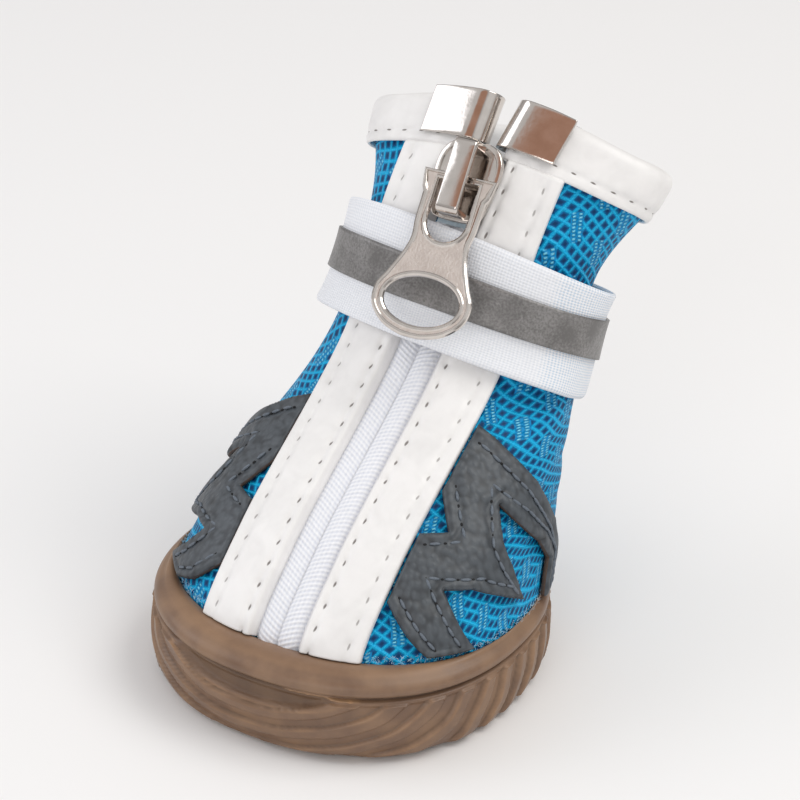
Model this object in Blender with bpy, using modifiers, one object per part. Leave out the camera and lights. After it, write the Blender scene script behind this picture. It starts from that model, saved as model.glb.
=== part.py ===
# Zip boot for a dog: toe towards -Y, up +Z, origin under the middle of the sole, metres.
import functools
import math

import bmesh
import bpy
import numpy as np
from mathutils import Matrix, Vector

# Sole
sole_length = 0.0488
sole_width = 0.0478
sole_shift = -0.0004
floor_height = 0.0047
tread_edge = 0.0024
rib_relief = 0.0006
rib_pitch = 0.0037
lens_reach = 0.0080
toe_rib_reach = 0.0150
rib_sweep = 2.6
insole_thickness = 0.0020

# Upper
foot_width = 0.933 * sole_width
boot_height = 0.0645
sideways_lean = 0.0030
collar_dip = 0.0024
wall = 0.0013
roundness = 0.89
lip_share = 0.14
gap = 0.0003

# Zip and plackets
chain_width = 0.0060
chain_depth = 0.0014
chain_ridge = 0.0005
placket_width = 0.0076
placket_thickness = 0.0011
slider_length = 0.0102
slider_width = 0.0088
slider_plate = 0.0009
slider_turn = 7.0
crown_width = 0.0030
crown_height = 0.0032
crown_wall = 0.0010

# Pull tab
pull_length = 0.0214
pull_thickness = 0.0012
pull_shoulder = 0.0095
pull_waist = 0.0070
pull_flare = 0.0134
pull_bar = 0.0012
pull_window = 0.0055
pull_window_length = 0.0078
pull_hole_width = 0.0102
pull_hole_height = 0.0062

# Strap and stripe
strap_bottom_share = 0.55
strap_top_share = 0.76
strap_thickness = 0.0008
strap_lap_share = 0.10
strap_flare = 0.0012
strap_tilt = 0.0013
stripe_thickness = 0.0002
stripe_start = 0.345
stripe_end = 0.72

# Overlays and collar
overlay_reach = 0.0450
overlay_thickness = 0.0009
overlay_drop = 0.0017
sliver = 0.0003
binding_height = 0.0072
binding_thickness = 0.0006
clip_width = 0.0081
clip_height = 0.0065
clip_thickness = 0.0004
clip_spread = 0.0008
clip_fan = 0.0006
clip_proud = 0.0006

# Sections of the upper's outer face, from inside the sole's cup to the collar.
# Heights and y are measured at the section's front and back middle.
# Columns: level, front y, front z, back y, back z, half width, sideways shift,
# as shares of half the sole's length (y), the boot's height (z), half the foot's width and the lean.
sections = np.array(
    [
        (0.00, -0.762, 0.078, 0.893, 0.078, 0.951, 0.00),
        (0.14, -0.799, 0.183, 0.934, 0.158, 1.000, 0.00),
        (0.30, -0.430, 0.316, 1.098, 0.256, 0.937, 0.03),
        (0.55, 0.574, 0.574, 1.369, 0.414, 0.740, 0.20),
        (0.76, 0.836, 0.791, 1.500, 0.627, 0.704, 0.47),
        (0.91, 1.115, 0.930, 1.717, 0.766, 0.865, 0.80),
        (1.00, 1.270, 1.000, 1.840, 0.838, 0.890, 1.00),
    ]
)

# Outer wall of the sole. Columns: share of the lip's height, inset from the widest outline in metres.
tread_inset = 0.0022
groove_inset = 0.0008
sole_rows = (
    (0.00, 1.00 * tread_inset),
    (0.05, 0.60 * tread_inset),
    (0.15, 0.25 * tread_inset),
    (0.27, 0.08 * tread_inset),
    (0.40, 0.00),
    (0.53, 0.04 * tread_inset),
    (0.65, 0.14 * tread_inset),
    (0.71, 0.55 * groove_inset),
    (0.74, 1.00 * groove_inset),
    (0.77, 0.55 * groove_inset),
    (0.83, 0.30 * groove_inset),
    (0.91, 0.35 * groove_inset),
    (0.97, 0.80 * groove_inset),
    (1.00, 1.50 * groove_inset),
)

# Outline of a side overlay, clockwise from its top corner at the placket.
# Columns: distance round from the placket as a share of the overlay's reach, level.
overlay_outline = (
    (0.000, 0.475),
    (0.084, 0.462),
    (0.198, 0.440),
    (0.344, 0.410),
    (0.511, 0.368),
    (0.635, 0.335),
    (0.838, 0.260),
    (1.000, 0.160),
    (0.869, 0.160),
    (0.758, 0.250),
    (0.573, 0.308),
    (0.362, 0.355),
    (0.225, 0.384),
    (0.322, 0.335),
    (0.428, 0.290),
    (0.608, 0.207),
    (0.459, 0.236),
    (0.291, 0.264),
    (0.176, 0.268),
    (0.260, 0.225),
    (0.401, 0.160),
    (0.216, 0.160),
    (0.115, 0.195),
    (0.000, 0.248),
    (0.000, 0.345),
    (0.097, 0.349),
    (0.000, 0.396),
)

# Strap around the shaft, from its hidden end at the back round the front to its outer end at the back.
# Columns: place round the shaft (0 front middle, 1 back middle), stand-off share, lap share,
# flare share (1 swings the lower edge out, -1 the upper edge).
strap_course = (
    (-1.0, 0.00, 0.0, 0.0),
    (-0.88, 0.00, 0.0, 0.0),
    (-0.62, 0.55, 0.0, 0.7),
    (-0.50, 0.75, 0.0, 1.0),
    (-0.36, 1.00, 0.0, 0.2),
    (-0.28, 1.00, 0.0, 0.0),
    (0.28, 1.00, 0.0, 0.0),
    (0.36, 1.00, 0.0, -0.2),
    (0.50, 0.75, 0.0, -1.0),
    (0.62, 0.55, 0.1, -0.7),
    (0.84, 0.00, 1.0, 0.0),
    (1.0, 0.00, 1.0, 0.0),
)


def start():
    """Empties the scene and makes the part's collection."""
    for old in list(bpy.data.objects):
        bpy.data.objects.remove(old, do_unlink=True)
    collection = bpy.data.collections.new("dog_boot")
    bpy.context.scene.collection.children.link(collection)
    return collection


collection = start()


def material(name, colour, roughness, metallic=0.0):
    made = bpy.data.materials.new(name)
    made.use_nodes = True
    shader = made.node_tree.nodes["Principled BSDF"]
    shader.inputs["Base Color"].default_value = (*colour, 1.0)
    shader.inputs["Roughness"].default_value = roughness
    shader.inputs["Metallic"].default_value = metallic
    return made


gum_rubber = material("gum_rubber", (0.26, 0.13, 0.07), 0.6)
blue_mesh = material("blue_mesh", (0.01, 0.27, 0.60), 0.8)
white_leather = material("white_leather", (0.83, 0.81, 0.79), 0.5)
grey_leather = material("grey_leather", (0.07, 0.08, 0.09), 0.6)
white_tape = material("white_tape", (0.72, 0.75, 0.84), 0.8)
grey_film = material("grey_film", (0.21, 0.21, 0.20), 0.4)
foam = material("foam", (0.05, 0.05, 0.05), 0.9)
nickel = material("nickel", (0.60, 0.56, 0.52), 0.25, 1.0)


@functools.lru_cache(maxsize=None)
def section(level):
    """One section's front, back, half width and shift in metres, eased between the table's rows."""
    levels = sections[:, 0]
    row = min(max(int(np.searchsorted(levels, level)) - 1, 0), len(levels) - 2)
    span = levels[row + 1] - levels[row]
    t = (level - levels[row]) / span
    slopes = np.diff(sections[:, 1:], axis=0) / np.diff(levels)[:, None]

    def tangent(index):
        if index == 0 or index == len(levels) - 1:
            return slopes[min(index, len(slopes) - 1)]
        before = levels[index] - levels[index - 1]
        after = levels[index + 1] - levels[index]
        return (slopes[index - 1] * after + slopes[index] * before) / (before + after)

    low, high = sections[row, 1:], sections[row + 1, 1:]
    if level > 1.0:
        values = sections[-1, 1:] + (level - 1.0) * slopes[-1]
    else:
        values = (
            (2 * t**3 - 3 * t**2 + 1) * low
            + (t**3 - 2 * t**2 + t) * span * tangent(row)
            + (3 * t**2 - 2 * t**3) * high
            + (t**3 - t**2) * span * tangent(row + 1)
        )
    half = sole_length / 2
    return (
        values[0] * half,
        values[1] * boot_height,
        values[2] * half,
        values[3] * boot_height,
        values[4] * foot_width / 2,
        values[5] * sideways_lean,
    )


def rounded(value):
    return math.copysign(abs(value) ** roundness, value)


def skin(round_share, level):
    """A point of the upper's outer face. round_share is 0 at the front middle and 1 or -1 at the back."""
    above = max(0.0, level - strap_top_share) / (1.0 - strap_top_share)
    level -= collar_dip / boot_height * above * (1.0 - math.cos(math.pi * round_share) ** 4)
    front_y, front_z, back_y, back_z, half_width, shift = section(level)
    across = rounded(math.sin(math.pi * round_share))
    along = rounded(math.cos(math.pi * round_share))
    return Vector(
        (
            shift + half_width * across,
            (front_y + back_y) / 2 + (front_y - back_y) / 2 * along,
            (front_z + back_z) / 2 + (front_z - back_z) / 2 * along,
        )
    )


def skin_out(round_share, level):
    """The outward normal of the upper's outer face."""
    step = 0.001
    along = skin(round_share + step, level) - skin(round_share - step, level)
    up = skin(round_share, level + step) - skin(round_share, max(level - step, 0.0))
    return along.cross(up).normalized()


def off_skin(round_share, level, out):
    return skin(round_share, level) + out * skin_out(round_share, level)


@functools.lru_cache(maxsize=None)
def girth(level):
    """Shares round one side of a section, and the distance from the front middle at each."""
    shares = np.linspace(0.0, 1.0, 129)
    points = np.array([skin(share, level) for share in shares])
    steps = np.linalg.norm(np.diff(points, axis=0), axis=1)
    return shares, np.concatenate(([0.0], np.cumsum(steps)))


def share_at(distance, level):
    shares, lengths = girth(level)
    return math.copysign(float(np.interp(abs(distance), lengths, shares)), distance)


def place(distance, level, out):
    """A point at a distance round from the front middle, on a level, standing out from the face."""
    return off_skin(share_at(distance, level), level, out)


@functools.lru_cache(maxsize=None)
def front_line():
    levels = np.linspace(0.0, 1.25, 251)
    points = np.array([skin(0.0, level) for level in levels])
    steps = np.linalg.norm(np.diff(points, axis=0), axis=1)
    return levels, np.concatenate(([0.0], np.cumsum(steps)))


def below_collar(distance):
    """The level that lies this far down the front from the collar's edge."""
    levels, lengths = front_line()
    top = float(np.interp(1.0, levels, lengths))
    return float(np.interp(top - distance, lengths, levels))


def above_level(level, distance):
    """The level that lies this far up the front from another."""
    levels, lengths = front_line()
    base = float(np.interp(level, levels, lengths))
    return float(np.interp(base + distance, lengths, levels))


def spread(first, last, count):
    return [float(value) for value in np.linspace(first, last, count)]


def new_object(name, mesh, finish):
    mesh.materials.append(finish)
    made = bpy.data.objects.new(name, mesh)
    collection.objects.link(made)
    return made


def mesh_from(name, points, faces):
    mesh = bpy.data.meshes.new(name)
    mesh.from_pydata([tuple(point) for point in points], [], faces)
    mesh.validate()
    return mesh


def grid_faces(rows, columns, closed=False, start=0, flip=False):
    """Faces of a grid stored row by row; a closed grid joins its last column to its first."""
    faces = []
    for row in range(rows - 1):
        for column in range(columns if closed else columns - 1):
            beside = (column + 1) % columns
            face = [
                start + row * columns + column,
                start + row * columns + beside,
                start + (row + 1) * columns + beside,
                start + (row + 1) * columns + column,
            ]
            faces.append(face[::-1] if flip else face)
    return faces


def turn_outwards(mesh):
    """Makes a closed body's faces agree and point out."""
    shape = bmesh.new()
    shape.from_mesh(mesh)
    bmesh.ops.recalc_face_normals(shape, faces=shape.faces)
    shape.to_mesh(mesh)
    shape.free()


def panel(name, grid, thickness, finish, offset=1.0):
    """An open grid of points, thickened. With offset 1 it grows outwards, with -1 inwards."""
    columns = len(grid[0])
    points = [point for row in grid for point in row]
    mesh = mesh_from(name, points, grid_faces(len(grid), columns))
    made = new_object(name, mesh, finish)
    thicken(made, thickness, offset)
    return made


def thicken(made, thickness, offset):
    solid = made.modifiers.new("thickness", "SOLIDIFY")
    solid.thickness = thickness
    solid.offset = offset
    made.data.shade_smooth()


def body_between(name, outer, inner, finish):
    """A closed body between two open grids of the same size, outer and inner."""
    rows, columns = len(outer), len(outer[0])
    points = [point for row in outer for point in row] + [point for row in inner for point in row]
    count = rows * columns
    faces = grid_faces(rows, columns) + grid_faces(rows, columns, start=count, flip=True)
    edge = [column for column in range(columns)]
    edge += [row * columns + columns - 1 for row in range(1, rows)]
    edge += [(rows - 1) * columns + column for column in range(columns - 2, -1, -1)]
    edge += [row * columns for row in range(rows - 2, 0, -1)]
    for here, there in zip(edge, edge[1:] + edge[:1]):
        faces.append([there, here, here + count, there + count])
    mesh = mesh_from(name, points, faces)
    turn_outwards(mesh)
    return new_object(name, mesh, finish)


def rib_height(distance, depth):
    """Relief of the sole's wall: a lens at the toe, arcs that hang from the lip, upright ribs behind."""
    reach = math.hypot(distance, rib_sweep * depth)
    if reach < lens_reach:
        return -1.0
    if reach < toe_rib_reach:
        return 1.0 - (reach - lens_reach) / (toe_rib_reach - lens_reach)
    return 1.0 - math.fmod(reach - toe_rib_reach, rib_pitch) / rib_pitch


def sole_point(share, inset, height):
    across = rounded(math.sin(math.pi * share))
    along = rounded(math.cos(math.pi * share))
    return Vector(
        (
            (sole_width / 2 - inset) * across,
            sole_shift - (sole_length / 2 - inset) * along,
            height,
        )
    )


def make_outsole():
    """A rubber cup: flat tread, ribbed wall, rounded lip, and a floor for the insole."""
    columns = 120
    shares = [2.0 * column / columns for column in range(columns)]
    outline = np.array([sole_point(share, 0.0, 0.0) for share in shares])
    steps = np.linalg.norm(outline - np.roll(outline, 1, axis=0), axis=1)
    walked = np.cumsum(steps) - steps[0]
    total = float(np.sum(steps))
    ribs_from, ribs_to = sole_rows[1][0], sole_rows[6][0]
    lip = [skin(share, lip_share).z for share in shares]
    rings = [[sole_point(share, 2.0 * tread_edge + tread_inset, 0.0) for share in shares]]
    for height_share, inset in sole_rows:
        ring = []
        for column, share in enumerate(shares):
            distance = min(walked[column], total - walked[column])
            height = height_share * lip[column]
            relief = 0.0
            if ribs_from < height_share <= ribs_to:
                relief = rib_relief * rib_height(distance, ribs_to * lip[column] - height)
            ring.append(sole_point(share, inset - relief, height))
        rings.append(ring)
    for level in (lip_share, 0.5 * lip_share, 0.0):
        rings.append([off_skin(share, level, gap) for share in shares])
    for point in rings[-1]:
        point.z = floor_height
    points = [point for ring in rings for point in ring]
    faces = grid_faces(len(rings), columns, closed=True)
    faces.append(list(range(columns))[::-1])
    last = (len(rings) - 1) * columns
    faces.append([last + column for column in range(columns)])
    mesh = mesh_from("outsole", points, faces)
    turn_outwards(mesh)
    new_object("outsole", mesh, gum_rubber)


def make_insole():
    """A thin foam sheet just inside the upper's wall, on the cup's floor."""
    columns = 48
    bottom = floor_height + gap
    rings = []
    for height in (bottom, bottom + insole_thickness):
        ring = [off_skin(2.0 * column / columns, 0.0, -wall - 2 * gap) for column in range(columns)]
        for point in ring:
            point.z = height
        rings.append(ring)
    faces = grid_faces(2, columns, closed=True)
    faces.append(list(range(columns))[::-1])
    faces.append([columns + column for column in range(columns)])
    mesh = mesh_from("insole", rings[0] + rings[1], faces)
    turn_outwards(mesh)
    new_object("insole", mesh, foam)


def make_upper():
    """The mesh upper: one wall from the cup to the collar, open at the zip, the collar and underneath."""
    levels = [0.0, 0.5 * lip_share] + spread(lip_share, upper_top, 13)
    slot = chain_width / 2 + gap
    grid = []
    for level in levels:
        first = share_at(slot, level)
        grid.append([skin(share, level) for share in spread(first, 2.0 - first, 43)])
    panel("upper", grid, wall, blue_mesh, offset=-1.0)


def make_chain(top):
    """The closed zip: a flat tape with two ridges, from the cup to the slider."""
    profile = (
        (-1.00, -0.6),
        (-0.85, 0.2),
        (-0.50, 1.0),
        (-0.15, 0.3),
        (0.00, 0.0),
        (0.15, 0.3),
        (0.50, 1.0),
        (0.85, 0.2),
        (1.00, -0.6),
    )
    outer, inner = [], []
    for level in [0.0, 0.5 * lip_share] + spread(lip_share, top, 15):
        sunk = 0.0 if level > lip_share else chain_ridge
        half = chain_width / 2
        outer.append([place(side * half, level, rise * chain_ridge - sunk) for side, rise in profile])
        inner.append([place(side * half, level, -chain_depth) for side, rise in profile])
    body_between("zip_chain", outer, inner, white_tape)


def clip_start(level):
    """How far a clip's fold lies from the front middle: the two clips open in a V towards the top."""
    low = below_collar(clip_height)
    return clip_spread + clip_fan * min(max((level - low) / (1.0 - low), 0.0), 1.0)


def make_zip_half(side, name, bottom):
    """One side of the opened zip, from the slider up to the collar's edge."""
    outer, inner = [], []
    near = clip_start(1.0) + clip_thickness / 2 + 2 * gap
    across = spread(side * near, side * chain_width / 2, 3)
    if side < 0:
        across = across[::-1]
    for level in spread(bottom, upper_top, 5):
        outer.append([place(distance, level, 0.0) for distance in across])
        inner.append([place(distance, level, -chain_depth) for distance in across])
    body_between(name, outer, inner, white_tape)


def make_placket(side, name):
    """A white strip over the upper's edge beside the zip, from the sole's lip to the binding."""
    near = chain_width / 2 + gap
    across = spread(side * near, side * (near + placket_width), 5)
    if side < 0:
        across = across[::-1]
    levels = spread(above_level(lip_share, 2 * gap), below_collar(binding_height + gap), 15)
    grid = [[place(distance, level, gap) for distance in across] for level in levels]
    panel(name, grid, placket_thickness, white_leather)


def make_overlay(side, name):
    """A zigzag panel cut from the upper's own face, between the placket and the boot's flank.

    The one on the -X side is sewn a little lower."""
    near = chain_width / 2 + 2 * gap + placket_width
    reach = overlay_reach - near
    levels, lengths = front_line()
    rise = float(np.interp(1.0, levels, lengths))
    flat = bmesh.new()
    drop = overlay_drop if side < 0 else 0.0
    foot = min(level for share, level in overlay_outline)
    corners = [
        flat.verts.new((share * reach, max(level * rise - drop, foot * rise), 0.0)) for share, level in overlay_outline
    ]
    edges = [flat.edges.new(pair) for pair in zip(corners, corners[1:] + corners[:1])]
    bmesh.ops.triangle_fill(flat, use_beauty=True, use_dissolve=False, edges=edges)
    cuts = [((across, 0.0, 0.0), (1.0, 0.0, 0.0)) for across in spread(0.1 * reach, 0.9 * reach, 9)]
    cuts += [((0.0, level * rise, 0.0), (0.0, 1.0, 0.0)) for level in spread(0.18, 0.45, 7)]
    for point, normal in cuts:
        everything = flat.verts[:] + flat.edges[:] + flat.faces[:]
        bmesh.ops.bisect_plane(flat, geom=everything, plane_co=point, plane_no=normal)
    bmesh.ops.dissolve_degenerate(flat, dist=sliver, edges=flat.edges[:])
    for vert in flat.verts:
        vert.co = place(side * (near + vert.co.x), vert.co.y / rise, gap)
    bmesh.ops.recalc_face_normals(flat, faces=flat.faces)
    outward = sum(face.normal.dot(face.calc_center_median() - Vector((0, 0, 0.01))) for face in flat.faces)
    if outward < 0:
        bmesh.ops.reverse_faces(flat, faces=flat.faces[:])
    mesh = bpy.data.meshes.new(name)
    flat.to_mesh(mesh)
    flat.free()
    thicken(new_object(name, mesh, grey_leather), overlay_thickness, 1.0)


def make_binding():
    """A white strip folded over the collar's edge, from one clip round the back to the other."""
    front = gap + binding_thickness / 2
    back = front - fold_depth
    fold = (
        (binding_height, front),
        ((binding_height + fold_rise) / 2, front),
        (fold_rise, front),
        (0.25 * fold_rise, 0.8 * front + 0.2 * back),
        (0.0, (front + back) / 2),
        (0.25 * fold_rise, 0.2 * front + 0.8 * back),
        (fold_rise, back),
        ((binding_height + fold_rise) / 2, back),
        (binding_height, back),
    )
    grid = []
    for down, out in fold:
        level = below_collar(down)
        first = share_at(clip_start(level) + 0.75 * fold_depth, level)
        grid.append([off_skin(share, level, out) for share in spread(first, 2.0 - first, 37)])
    panel("collar_binding", grid, binding_thickness, white_leather, offset=0.0)


def make_clip(side, name):
    """A sheet metal clip bent round the binding's end, its fold towards the zip."""
    out = 2 * gap + binding_thickness + clip_thickness / 2
    back = -(wall + 2 * gap + binding_thickness + gap + clip_thickness / 2)
    radius = (out - back) / 2
    course = [(distance, out) for distance in spread(clip_width, radius, 4)]
    for step in range(1, 6):
        angle = math.pi * step / 6
        course.append((radius * (1.0 - math.sin(angle)), (out + back) / 2 + radius * math.cos(angle)))
    course += [(distance, back) for distance in spread(radius, clip_width, 4)]
    top = below_collar(-clip_proud)
    bottom = below_collar(clip_height - clip_proud)
    grid = [
        [place(side * (clip_start(level) + distance), level, depth) for distance, depth in course]
        for level in spread(bottom, top, 3)
    ]
    if side > 0:
        grid = [row[::-1] for row in grid]
    panel(name, grid, clip_thickness, nickel, offset=0.0)


def slope_frame(level):
    """A frame on the front middle: X across, Y up the slope, Z outwards."""
    up = (skin(0.0, level + 0.01) - skin(0.0, level - 0.01)).normalized()
    out = skin_out(0.0, level)
    across = up.cross(out).normalized()
    out = across.cross(up).normalized()
    turn = Matrix((across, up, out)).transposed().to_4x4()
    return Matrix.Translation(skin(0.0, level)) @ turn


def prism(outline, axis, low, high):
    """A closed bmesh of an outline pushed along Z (axis z) or, for a side view, along X (axis x)."""
    shape = bmesh.new()
    if axis == "z":
        ends = [[shape.verts.new((a, b, depth)) for a, b in outline] for depth in (low, high)]
    else:
        ends = [[shape.verts.new((depth, a, b)) for a, b in outline] for depth in (low, high)]
    count = len(outline)
    shape.faces.new(ends[0][::-1])
    shape.faces.new(ends[1])
    for index in range(count):
        beside = (index + 1) % count
        shape.faces.new((ends[0][index], ends[0][beside], ends[1][beside], ends[1][index]))
    bmesh.ops.recalc_face_normals(shape, faces=shape.faces)
    return shape


def join_pieces(name, shapes, finish):
    """One object from closed pieces that overlap, joined by Boolean unions."""
    made = None
    for index, shape in enumerate(shapes):
        mesh = bpy.data.meshes.new(f"{name}_{index}")
        shape.to_mesh(mesh)
        shape.free()
        if made is None:
            made = new_object(name, mesh, finish)
            continue
        cutter = new_object(f"{name}_join_{index}", mesh, finish)
        union = made.modifiers.new("join", "BOOLEAN")
        union.operation = "UNION"
        union.object = cutter
        cutter.hide_render = True
        cutter.display_type = "WIRE"
        cutter.parent = made
    return made


placket_top = gap + placket_thickness
plate_low = placket_top + gap
plate_high = plate_low + slider_plate
hinge_out = plate_high + crown_height / 2 - crown_wall / 2
fold_depth = wall + 2 * gap + binding_thickness
fold_rise = 0.75 * fold_depth
upper_top = below_collar(fold_rise + binding_thickness / 2 + gap)
slider_bottom = above_level(strap_top_share, 0.7 * slider_plate)
slider_level = above_level(slider_bottom, slider_length / 2)
slider_top = above_level(slider_bottom, slider_length)
slider_twist = Matrix.Rotation(math.radians(slider_turn), 4, "Z")


def make_slider():
    """The zip's slider: a shield plate over the plackets, its core between the tapes and the crown loop.

    Plate and crown sit a little askew on the zip."""
    half_width = slider_width / 2
    half_length = slider_length / 2
    # Right half of the plate's outline, as shares of its half width and half length
    right = ((0.45, -1.0), (0.74, -0.88), (0.86, -0.55), (0.95, -0.1), (1.0, 0.25), (0.95, 0.6), (0.75, 0.88))
    right += ((0.45, 1.0), (0.2, 0.98))
    outline = [(x * half_width, y * half_length) for x, y in right]
    outline += [(-x, y) for x, y in reversed(outline)]
    plate = prism(outline, "z", plate_low, plate_high)
    core_half = chain_width / 2 - gap
    core_low, core_high = -half_length + 2 * gap, half_length - 2 * gap
    core_outline = ((-core_half, core_low), (core_half, core_low), (core_half, core_high), (-core_half, core_high))
    core = prism(core_outline, "z", -chain_depth, plate_low + slider_plate / 2)
    top = plate_high + crown_height
    foot = plate_low + slider_plate / 2
    end = 0.96 * half_length
    bend = crown_wall
    arch = [(-end, foot), (end, foot), (end, top - bend), (end - bend, top), (-end + bend, top), (-end, top - bend)]
    inner = [(end - crown_wall, foot), (end - crown_wall, top - crown_wall)]
    inner += [(-end + crown_wall, top - crown_wall), (-end + crown_wall, foot)]
    loop = [arch[0], arch[5], arch[4], arch[3], arch[2], arch[1]] + inner
    crown = prism(loop, "x", -crown_width / 2, crown_width / 2)
    for shape in (plate, crown):
        bmesh.ops.transform(shape, matrix=slider_twist, verts=shape.verts)
    made = join_pieces("slider", [plate, core, crown], nickel)
    made.matrix_world = slope_frame(slider_level)


def lying_angle(hinge):
    """How far the pull turns out of the slope, so that it lies on the stripe and clears the slider's plate."""
    lift = plate_high + gap + pull_thickness / 2 - hinge.z
    turns = [math.atan2(lift, slider_length / 2)]
    frame = slope_frame(slider_level).inverted()
    for level in spread(strap_bottom_share, strap_top_share, 12):
        top = strap_out(0.0, level) + strap_thickness / 2 + 2 * gap + stripe_thickness + pull_thickness / 2
        point = frame @ off_skin(0.0, level, top)
        down, rise = hinge.y - point.y, point.z - hinge.z
        if 0.0 < down < pull_length:
            turns.append(math.atan2(rise, down))
    return max(turns)


def flat_curve(name, loops, thickness, finish):
    """A flat plate from closed outlines, the first one outside and the others holes."""
    shape = bpy.data.curves.new(name, "CURVE")
    shape.dimensions = "2D"
    shape.fill_mode = "BOTH"
    shape.extrude = thickness / 2
    for loop in loops:
        spline = shape.splines.new("POLY")
        spline.points.add(len(loop) - 1)
        for point, (x, y) in zip(spline.points, loop):
            point.co = (x, y, 0.0, 1.0)
        spline.use_cyclic_u = True
    made = bpy.data.objects.new(name, shape)
    shape.materials.append(finish)
    collection.objects.link(made)
    return made


def arc(centre_x, centre_y, radius_x, radius_y, first, last, count):
    return [
        (centre_x + radius_x * math.cos(math.radians(a)), centre_y + radius_y * math.sin(math.radians(a)))
        for a in spread(first, last, count)
    ]


def make_pull_tab():
    """The keyhole pull: a crossbar under the crown, a waist and a ring. Its origin is on the crossbar's axis."""
    bar = pull_bar / 2
    ring_radius = pull_hole_height / 2 + (pull_flare - pull_hole_width) / 2
    ring_y = -(pull_length - bar - ring_radius)
    shoulder, waist, flare = pull_shoulder / 2, pull_waist / 2, pull_flare / 2
    window_end = -(bar + pull_window_length)
    side = [(shoulder, bar), (shoulder, 0.2 * window_end), (0.92 * shoulder, 0.3 * window_end)]
    side += [(1.06 * waist, 0.75 * window_end), (waist, window_end), (1.12 * waist, 1.25 * window_end)]
    side += [(0.84 * flare, ring_y + 0.6 * ring_radius)]
    ring = arc(0.0, ring_y, flare, ring_radius, 10, -90, 11)
    right = side + ring
    outline = right + [(-x, y) for x, y in reversed(right[:-1])]
    half = pull_window / 2
    window = [(half, -bar), (-half, -bar)] + arc(0.0, window_end + half, half, half, 180, 360, 9)
    hole = arc(0.0, ring_y, pull_hole_width / 2, pull_hole_height / 2, 0, 345, 24)
    made = flat_curve("pull_tab", [outline, window, hole], pull_thickness, nickel)
    hinge = Vector((0.0, 0.0, hinge_out))
    lie = Matrix.Rotation(-lying_angle(hinge), 4, "X")
    made.matrix_world = slope_frame(slider_level) @ slider_twist @ Matrix.Translation(hinge) @ lie


def strap_out(round_share, level):
    """How far the strap's middle stands off the upper: more at the front, at its lap and where it flares."""
    places, stand_off, lap, flare = zip(*strap_course)
    low = gap + strap_thickness / 2
    high = placket_top + 2 * gap + strap_thickness / 2
    ends = (strap_thickness + gap) * float(np.interp(round_share, places, lap))
    height = 2.0 * (level - strap_bottom_share) / (strap_top_share - strap_bottom_share) - 1.0
    swing = strap_flare * float(np.interp(round_share, places, flare))
    return low + (high - low) * float(np.interp(round_share, places, stand_off)) - height * swing + ends


def strap_point(round_share, level, rise=0.0):
    """A point of the strap's middle, raised by rise. The band hangs a little lower on the +X side."""
    hung = level - strap_tilt / boot_height * math.sin(math.pi * round_share)
    return off_skin(round_share, hung, strap_out(round_share, level) + rise)


strap_shares = spread(-1.0 - strap_lap_share, 1.0 + strap_lap_share, 57)
stripe_low = strap_bottom_share + stripe_start * (strap_top_share - strap_bottom_share)
stripe_high = strap_bottom_share + stripe_end * (strap_top_share - strap_bottom_share)
stripe_levels = spread(stripe_low, stripe_high, 3)


def make_strap():
    """The strap: one band round the shaft, its outer end lapped over its start at the back."""
    grid = [
        [strap_point(share, level) for share in strap_shares]
        for level in [strap_bottom_share] + stripe_levels + [strap_top_share]
    ]
    panel("strap", grid, strap_thickness, white_tape, offset=0.0)


def make_stripe():
    """The reflective stripe, laid along the middle of the strap."""
    rise = strap_thickness / 2 + gap
    shares = [share for share in strap_shares if -0.85 < share < 1.0 + 0.6 * strap_lap_share]
    grid = [[strap_point(share, level, rise) for share in shares] for level in stripe_levels]
    panel("reflective_stripe", grid, stripe_thickness, grey_film)


make_outsole()
make_insole()
make_upper()
make_chain(above_level(slider_bottom, -gap))
make_slider()
make_pull_tab()
for side, word in ((-1, "right"), (1, "left")):
    make_zip_half(side, f"zip_half_{word}", slider_top)
    make_placket(side, f"placket_{word}")
    make_overlay(side, f"side_overlay_{word}")
    make_clip(side, f"clip_{word}")
make_binding()
make_strap()
make_stripe()
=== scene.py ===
import math

import bmesh
import bpy
import numpy as np
from mathutils import Matrix, Vector


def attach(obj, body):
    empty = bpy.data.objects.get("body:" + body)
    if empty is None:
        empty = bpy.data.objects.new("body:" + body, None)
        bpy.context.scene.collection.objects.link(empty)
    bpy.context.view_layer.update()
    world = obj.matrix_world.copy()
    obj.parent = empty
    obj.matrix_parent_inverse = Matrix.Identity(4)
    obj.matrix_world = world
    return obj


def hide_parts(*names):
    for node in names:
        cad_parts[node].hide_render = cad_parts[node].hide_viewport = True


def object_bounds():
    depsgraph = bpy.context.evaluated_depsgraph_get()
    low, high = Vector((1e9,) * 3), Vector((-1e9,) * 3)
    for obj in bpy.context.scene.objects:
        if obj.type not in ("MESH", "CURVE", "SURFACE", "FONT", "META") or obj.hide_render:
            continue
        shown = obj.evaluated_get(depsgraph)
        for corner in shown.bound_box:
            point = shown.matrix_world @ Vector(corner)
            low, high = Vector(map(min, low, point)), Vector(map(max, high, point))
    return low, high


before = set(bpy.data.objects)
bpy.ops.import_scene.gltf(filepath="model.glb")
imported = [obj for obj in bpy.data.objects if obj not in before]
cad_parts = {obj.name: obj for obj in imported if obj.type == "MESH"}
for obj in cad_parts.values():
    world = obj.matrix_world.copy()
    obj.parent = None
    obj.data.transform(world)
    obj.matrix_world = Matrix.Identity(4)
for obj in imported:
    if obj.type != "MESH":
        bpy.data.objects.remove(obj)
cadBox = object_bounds()
mm = 0.001

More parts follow.
